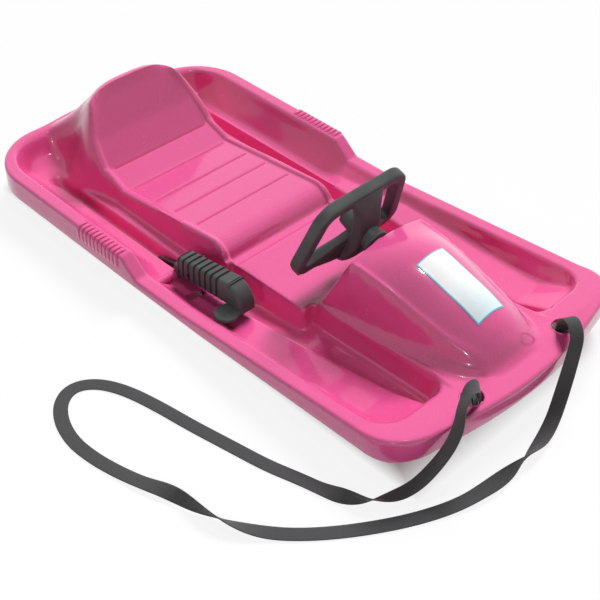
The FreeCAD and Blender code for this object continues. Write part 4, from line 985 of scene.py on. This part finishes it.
class SLED_OT_strap(bpy.types.Operator):
    """The tow strap: flat webbing carried along a smooth spline of its route, turned over three times."""
    bl_idname = "sled.strap"
    bl_label = "Tow strap"

    def execute(self, context):
        sizes = context.scene.sled_sizes
        line = self.line()
        share = np.linspace(0, len(STRAP_ROUTE) - 2, len(line)) + 0.5
        width = self.width_ways(line, share)
        face = unit(np.cross(unit(np.gradient(line, axis=0)), width))
        section = ring_profile(0.5, 0.5, 5.0, 20)
        across = section[:, 0] * sizes.strap_width
        rise = section[:, 1] * sizes.strap_thickness
        rows = line[:, None] + across[None, :, None] * width[:, None] + rise[None, :, None] * face[:, None]
        length = np.concatenate([[0], np.cumsum(np.linalg.norm(np.diff(line, axis=0), axis=1))])
        rows, faces = closed_tube(1000 * rows)
        along = np.concatenate([length[:1], length, length[-1:]])
        uv = np.stack(np.broadcast_arrays(along[:, None], across[None]), -1).reshape(-1, 2)
        piece = put("tow_strap_band", rows.reshape(-1, 3), faces[:, ::-1], "shell", "woven_strap",
                    uv, crease=60.0)
        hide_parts("tow_strap")
        return {"FINISHED"}

    def line(self):
        """Points read from a spline whose control points are the route."""
        curve = bpy.data.curves.new("strap_route", "CURVE")
        curve.dimensions = "3D"
        curve.resolution_u = 10
        spline = curve.splines.new("NURBS")
        spline.points.add(len(STRAP_ROUTE) - 1)
        spline.points.foreach_set("co", np.column_stack([STRAP_ROUTE, np.ones(len(STRAP_ROUTE))]).ravel())
        spline.order_u = 3
        spline.use_endpoint_u = True
        holder = bpy.data.objects.new("strap_route", curve)
        mesh = bpy.data.meshes.new_from_object(holder)
        points = np.empty(3 * len(mesh.vertices))
        mesh.vertices.foreach_get("co", points)
        bpy.data.objects.remove(holder)
        bpy.data.curves.remove(curve)
        bpy.data.meshes.remove(mesh)
        return points.reshape(-1, 3)

    def width_ways(self, line, passed):
        """The way the width points: level, turned over by a smooth step at each half turn, and swung round at
        the two ends."""
        along = unit(np.gradient(line, axis=0))
        level = unit(np.stack([-along[:, 1], along[:, 0], np.zeros(len(line))], -1))
        turn = np.zeros(len(line))
        for first, last in HALF_TURNS:
            t = np.clip((passed - first) / (last - first), 0, 1)
            turn += np.pi * t * t * (3 - 2 * t)
        width = level * np.cos(turn)[:, None] + np.cross(along, level) * np.sin(turn)[:, None]
        near = np.clip((GROUND_FIRST - passed) / (GROUND_FIRST - NEAR_TURNED), 0, 1)[:, None]
        far = np.clip((passed - GROUND_LAST) / (FAR_TURNED - GROUND_LAST), 0, 1)[:, None]
        width = np.array(NEAR_WIDTH) * near + np.array(FAR_WIDTH) * far + width * (1 - near - far)
        return unit(width - along * (width * along).sum(1, keepdims=True))


class SLED_OT_shell(bpy.types.Operator):
    """The moulded shell: an upper skin with its rim, a lower skin, the hand grips and the blank label."""
    bl_idname = "sled.shell"
    bl_label = "Shell"

    def execute(self, context):
        sizes = context.scene.sled_sizes
        form = Form(sizes.edge_round * 1000)
        self.upper(form, sizes)
        self.lower(form, sizes)
        self.grips(sizes)
        self.label(form)
        return {"FINISHED"}

    def upper(self, form, sizes):
        """The plan grid raised to the height field, less the seat's lines, with the rim's rings round it."""
        x, y = shell_plan(False)
        z = form.at(x, y)
        for groove in SEAT_GROOVES:
            dip = np.exp(-0.5 * ((x - groove) / 0.9) ** 2) * np.clip((GROOVE_HALF - np.abs(y)) / 3, 0, 1)
            z = z - 1000 * sizes.groove_depth * dip
        points = np.stack([x, y, z], -1).reshape(-1, 3)
        faces = open_faces(grid_faces(*x.shape), points)
        order = border_order(*x.shape)
        rings = rim_rings(points[order])
        ring_faces = grid_faces(len(rings), len(order), close_columns=True)
        pieces = [(points, faces), (rings, ring_faces)]
        pieces += hole_lips(form) + slot_walls(form, 1000 * sizes.wall)
        all_points, all_faces = gathered(pieces)
        piece = put("shell_upper_skin", all_points, all_faces, "shell", "pearly_pink", crease=50.0)
        self.join_border(piece)
        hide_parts("hull")

    def join_border(self, piece):
        """The first ring lies on the grid's border, so their points are merged."""
        work = bmesh.new()
        work.from_mesh(piece.data)
        bmesh.ops.remove_doubles(work, verts=work.verts, dist=1e-6)
        work.to_mesh(piece.data)
        work.free()

    def lower(self, form, sizes):
        """The lower skin: a coarser plan grid moved one wall down along the surface's own direction, and the
        four posts that carry the steering bracket."""
        wall = 1000 * sizes.wall
        x, y = shell_plan(True)
        points = np.stack([x, y, form.at(x, y)], -1)
        normal = unit(np.cross(np.gradient(points, axis=0), np.gradient(points, axis=1)))
        moved = points - normal * wall
        moved[..., 2] = np.maximum(moved[..., 2], 0.05)
        edge = np.zeros(x.shape, bool)
        edge[[0, -1]] = True
        edge[:, [0, -1]] = True
        moved[edge] = points[edge] - np.array([0.0, 0.0, wall])
        faces = open_faces(grid_faces(*x.shape), moved.reshape(-1, 3), SLOT_SPARE)[:, ::-1]
        pieces = [(moved, faces)]
        for px in POSTS_X:
            for py in POSTS_Y:
                top = float(form.at(np.array([px]), np.array([py]))[0]) - 7.0
                profile = ((75.1, 2.2), (75.1, 6.4), (75.7, 7.0), (top, 7.4))
                pieces.append(turned((px, py, 0.0), (0, 0, 1), (1, 0, 0), profile, 32))
        all_points, all_faces = gathered(pieces)
        put("shell_lower_skin", all_points, all_faces, "shell", "pearly_pink", crease=50.0)

    def grips(self, sizes):
        """Ribs over the rim beside the seat: a flat-topped bump carried over the rim's rounded section."""
        section = np.array([
            (18.4, 0.0), (15.0, 0.0), (11.0, 0.0), (7.0, 0.0), (4.4, 0.0), (2.72, -0.33), (1.29, -1.29),
            (0.33, -2.72), (0.0, -4.4), (0.0, -7.0), (0.0, -11.0), (0.0, -16.0), (0.0, -20.0), (0.0, -23.0)])
        out = HALF_WIDTH - section[:, 0]
        up = RIM_TOP + section[:, 1]
        along = unit(np.stack([np.gradient(out), np.gradient(up)], -1))
        away = np.stack([-along[:, 1], along[:, 0]], -1)
        share = np.linspace(0, 1, len(section))
        ends = np.clip(np.minimum(share, 1 - share) * 9, 0, 1) ** 0.5
        across = np.linspace(-1, 1, 13)
        bump = 1000 * sizes.rib_rise * np.clip(1 - np.abs(across) ** 8, 0, 1) ** 0.5
        rise = ends[:, None] * bump[None] - 0.25
        pieces = []
        for side in (-1.0, 1.0):
            for middle in GRIP_RIBS:
                x = middle + GRIP_RIB_HALF * across[None] + np.zeros((len(section), 1))
                y = side * (out[:, None] + away[:, None, 0] * rise)
                z = up[:, None] + away[:, None, 1] * rise
                faces = grid_faces(len(section), len(across))
                pieces.append((np.stack([x, y, z], -1), faces if side < 0 else faces[:, ::-1]))
        points, faces = gathered(pieces)
        put("rim_hand_grips", points, faces, "shell", "pearly_pink", crease=60.0)

    def label(self, form):
        """The blank label: a thin film laid over the cowl's own surface."""
        u, v = np.meshgrid(np.linspace(0, 1, 60), np.linspace(0, 1, 30), indexing="ij")
        x = LABEL_REAR + LABEL_LONG * u
        y = LABEL_WIDE * v - LABEL_WIDE / 2
        z = form.at(x, y)
        top = np.stack([x, y, z + LABEL_TOP], -1)
        skirt = np.stack([x, y, z + LABEL_FOOT], -1)
        order = border_order(*x.shape)
        edge = np.stack([skirt.reshape(-1, 3)[order], top.reshape(-1, 3)[order]])
        faces = grid_faces(*x.shape)
        edge_faces = grid_faces(2, len(order), close_columns=True)[:, ::-1]
        points, faces = gathered([(top, faces), (skirt, faces[:, ::-1]), (edge, edge_faces)])
        uv = np.stack([(points[:, 0] - LABEL_REAR) / LABEL_LONG, points[:, 1] / LABEL_WIDE + 0.5], -1)
        piece = put("cowl_blank_label", points, faces, "shell", "blank_film", uv, crease=40.0)
        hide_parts("blank_label")


class SLED_OT_wheel(bpy.types.Operator):
    """The steering wheel: a rim round a rounded trapezoid, a deep middle web, lower spokes and the hub."""
    bl_idname = "sled.wheel"
    bl_label = "Steering wheel"

    def execute(self, context):
        sizes = context.scene.sled_sizes
        pieces = [self.rim(sizes), self.web(), self.hub(), self.lower_spoke(-1.0), self.lower_spoke(1.0)]
        points, faces = gathered(pieces)
        piece = put("moulded_steering_wheel", points, faces, "steering", "dark_satin",
                    crease=45.0)
        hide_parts("steering_wheel")
        return {"FINISHED"}

    def placed(self, side, up, depth):
        """Wheel-plane coordinates carried to the sled's frame."""
        return (WHEEL_MIDDLE + depth[..., None] * COLUMN_WAY + up[..., None] * WHEEL_UP
                + side[..., None] * np.array([0.0, 1.0, 0.0]))

    def rim(self, sizes):
        """A rounded-square section carried round the trapezoid, whose corners are arcs."""
        half = 500 * sizes.wheel_rim
        top = (WHEEL_TOP[0] - half, WHEEL_TOP[1] - half)
        bottom = (WHEEL_BOTTOM[0] - half, WHEEL_BOTTOM[1] + half)
        corners = np.array([top, (-top[0], top[1]), (-bottom[0], bottom[1]), bottom])
        radii = (25.0, 25.0, 15.0, 15.0)
        path = []
        for i, corner in enumerate(corners):
            following = corners[(i + 1) % 4]
            back = unit(corners[i - 1] - corner)
            ahead = unit(following - corner)
            opening = math.acos(float(back @ ahead))
            reach = radii[i] / math.tan(opening / 2)
            centre = corner + unit(back + ahead) * radii[i] / math.sin(opening / 2)
            first = corner + back * reach - centre
            start = math.atan2(first[1], first[0])
            angle = start + np.linspace(0, math.pi - opening, 13)
            path.append(centre + radii[i] * np.stack([np.cos(angle), np.sin(angle)], -1))
            last = path[-1][-1]
            gap = np.linspace(0.08, 0.6, 7)[:, None]
            path.append(last + gap * (following - last))
        path = np.concatenate(path)
        along = unit(np.roll(path, -1, 0) - np.roll(path, 1, 0))
        outward = np.stack([along[:, 1], -along[:, 0]], -1)
        section = ring_profile(half, 500 * sizes.wheel_depth, 4.6, 36)
        plane = path[:, None] + outward[:, None] * section[None, :, :1]
        depth = np.broadcast_to(section[None, :, 1], plane.shape[:2])
        rows = self.placed(plane[..., 0], plane[..., 1], depth)
        return rows, grid_faces(*rows.shape[:2], close_rows=True, close_columns=True)

    def web(self):
        """The middle web: a rounded-square section with half width, front and back eased down the wheel."""
        up = np.linspace(60, -72, 60)
        stations = (-72, -66, -58, -40, 0, 40, 64)
        half = eased(up, stations, (7, 15, 21, 23, 21, 23, 33))
        front = eased(up, stations, (0, -4, -6, 3, 13, 5, -7))
        back = eased(up, stations, (10, 16, 22, 32, 36, 22, 8))
        section = ring_profile(1, 1, 4.5, 36)
        side = half[:, None] * section[None, :, 0]
        depth = (front + back)[:, None] / 2 + ((back - front) / 2)[:, None] * section[None, :, 1]
        rows = self.placed(side, np.broadcast_to(up[:, None], side.shape), depth)
        return closed_tube(rows)

    def lower_spoke(self, way):
        """A lower spoke: a rounded-square section whose upper edge falls from the hub to the lower corner."""
        out = np.linspace(16, 91, 30)
        stations = (16, 40, 70, 91)
        top = eased(out, stations, (-4, -19, -39, -47))
        section = ring_profile(1, 1, 5.0, 32)
        up = (top[:, None] - 54) / 2 + (top[:, None] + 54) / 2 * section[None, :, 0]
        depth = eased(out, stations, (12, 8, 2, 0))[:, None] + 7.4 * section[None, :, 1]
        rows = self.placed(np.broadcast_to(way * out[:, None], up.shape), up, depth)
        points, faces = closed_tube(rows)
        return points, faces if way < 0 else faces[:, ::-1]

    def hub(self):
        """The hub: a turned sleeve down to the cowl, with a collar at its end and a dish for the screw."""
        profile = (
            (-10.5, 0.0), (-10.5, 5.6), (-12.0, 6.2), (-12.0, 12.0), (-11.0, 13.6), (-6.0, 14.5),
            (24.0, 17.2), (42.0, 17.0), (42.6, 18.6), (43.4, 19.2), (46.4, 19.2), (47.4, 18.6),
            (47.6, 17.0), (47.6, 0.0))
        return turned(WHEEL_MIDDLE, COLUMN_WAY, (0, 1, 0), profile, 48)


class SLED_OT_brake(bpy.types.Operator):
    """The brake lever: a ribbed grip, a bent front end, a round foot pad, the pivot and the axle's sleeve."""
    bl_idname = "sled.brake"
    bl_label = "Brake lever"

    def execute(self, context):
        sizes = context.scene.sled_sizes
        pad = (
            (0.0, 0.0), (0.0, 14.0), (0.5, 16.4), (1.8, 17.4), (5.0, 17.4), (6.4, 16.6), (7.0, 14.6),
            (7.2, 8.0), (6.9, 0.0))
        boss = ((-10.0, 4.1), (-10.0, 5.3), (-9.4, 5.8), (9.4, 5.8), (10.0, 5.3), (10.0, 4.1))
        sleeve = ((-206.5, 4.4), (-206.5, 5.6), (-205.9, 6.2), (-178.9, 6.2), (-178.3, 5.6), (-178.3, 4.4))
        points, faces = turned((PIVOT_X, 0.0, PIVOT_Z), (0, 1, 0), (1, 0, 0), sleeve, 36)
        put("axle_outer_sleeve", points.reshape(-1, 3), faces, "shell", "pearly_pink")
        points, faces = gathered([
            self.grip(sizes),
            self.hook(),
            cushioned((PAD_X, -168.0, 44.0), 15.0, 22.0, 4.6, 3.4),
            turned((PAD_X, -182.0, 39.9), (0, 0, 1), (1, 0, 0), pad, 48),
            turned((PIVOT_X, -158.0, PIVOT_Z), (0, 1, 0), (1, 0, 0), boss, 36),
            cushioned((-48.0, -157.0, 37.0), 12.0, 10.0, 8.5, 4.0)])
        piece = put("ribbed_brake_lever", points, faces, "brake", "dark_satin", crease=45.0)
        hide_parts("brake_lever")
        return {"FINISHED"}

    def hook(self):
        """The front end: a rounded-square section carried along the grip and round a quarter bend."""
        angle = np.linspace(1, 0, 16) * math.radians(97.1)
        bend_x = 54.0 + 17.0 * np.cos(angle)
        bend_z = 44.4 + 17.0 * np.sin(angle)
        x = np.concatenate([[44.0], bend_x, [PAD_X]])
        z = np.concatenate([[59.7], bend_z, [41.0]])
        lean = np.concatenate([angle[:1], angle, angle[-1:]])
        tall = np.interp(np.arange(len(x)), (0, 6, len(x) - 1), (18.0, 17.6, 14.0))
        section = ring_profile(1, 1, 6.0, 44)
        rows = np.stack([
            x[:, None] + np.cos(lean)[:, None] * tall[:, None] * section[None, :, 1],
            np.broadcast_to(LEVER_Y + 14.4 * section[None, :, 0], (len(x), 44)),
            z[:, None] + np.sin(lean)[:, None] * tall[:, None] * section[None, :, 1]], -1)
        return closed_tube(rows)

    def grip(self, sizes):
        """A rounded-square section along the rising grip that swells and shrinks in a row of flat ribs."""
        x = np.linspace(*GRIP_ENDS, 300)
        phase = (x - RIB_FIRST) / RIB_PITCH
        rib = np.clip(3.0 * np.cos(2 * np.pi * (phase - 0.5)) + 2.3, 0, 1)
        inside = (phase > 0) & (phase < sizes.lever_ribs)
        swell = np.where(inside, -2.2 + 3.0 * rib, 0.8)
        ends = np.clip((x - GRIP_ENDS[0]) / 3.0, 0.0, 1.0)
        close = 0.78 + 0.22 * np.sqrt(1 - (1 - ends) ** 2)
        wide = (13.6 + swell) * close
        tall = (16.0 + 0.022 * (x + 37.0) + swell) * close
        section = ring_profile(1, 1, 6.0, 44)
        y = LEVER_Y + wide[:, None] * section[None, :, 0]
        z = (49.5 + 0.125 * (x + 37.0))[:, None] + tall[:, None] * section[None, :, 1]
        rows = np.stack([np.broadcast_to(x[:, None], y.shape), y, z], -1)
        return closed_tube(rows)


class SLED_PT_panel(bpy.types.Panel):
    """Lists the pieces in the sidebar."""
    bl_label = "Steering sled"
    bl_idname = "SLED_PT_panel"
    bl_space_type = "VIEW_3D"
    bl_region_type = "UI"
    bl_category = "Sled"

    def draw(self, context):
        for operator in OPERATORS:
            self.layout.operator(operator.bl_idname)
        for group in (context.scene.sled_sizes, context.scene.sled_colours):
            for name in group.__annotations__:
                self.layout.prop(group, name)


OPERATORS = (SLED_OT_stage, SLED_OT_finishes, SLED_OT_strap, SLED_OT_shell, SLED_OT_wheel, SLED_OT_brake)
CLASSES = (SledSizes, SledColours) + OPERATORS + (SLED_PT_panel,)


def register():
    """Makes the classes known, and the scene's own sizes and colours."""
    for item in CLASSES:
        bpy.utils.register_class(item)
    bpy.types.Scene.sled_sizes = bpy.props.PointerProperty(type=SledSizes)
    bpy.types.Scene.sled_colours = bpy.props.PointerProperty(type=SledColours)


def unregister():
    """Takes them away again."""
    del bpy.types.Scene.sled_colours
    del bpy.types.Scene.sled_sizes
    for item in reversed(CLASSES):
        bpy.utils.unregister_class(item)


def main():
    """Makes every piece in order."""
    register()
    bpy.ops.sled.stage()
    bpy.ops.sled.finishes()
    bpy.ops.sled.strap()
    bpy.ops.sled.shell()
    bpy.ops.sled.wheel()
    bpy.ops.sled.brake()


if __name__ == "__main__":
    main()
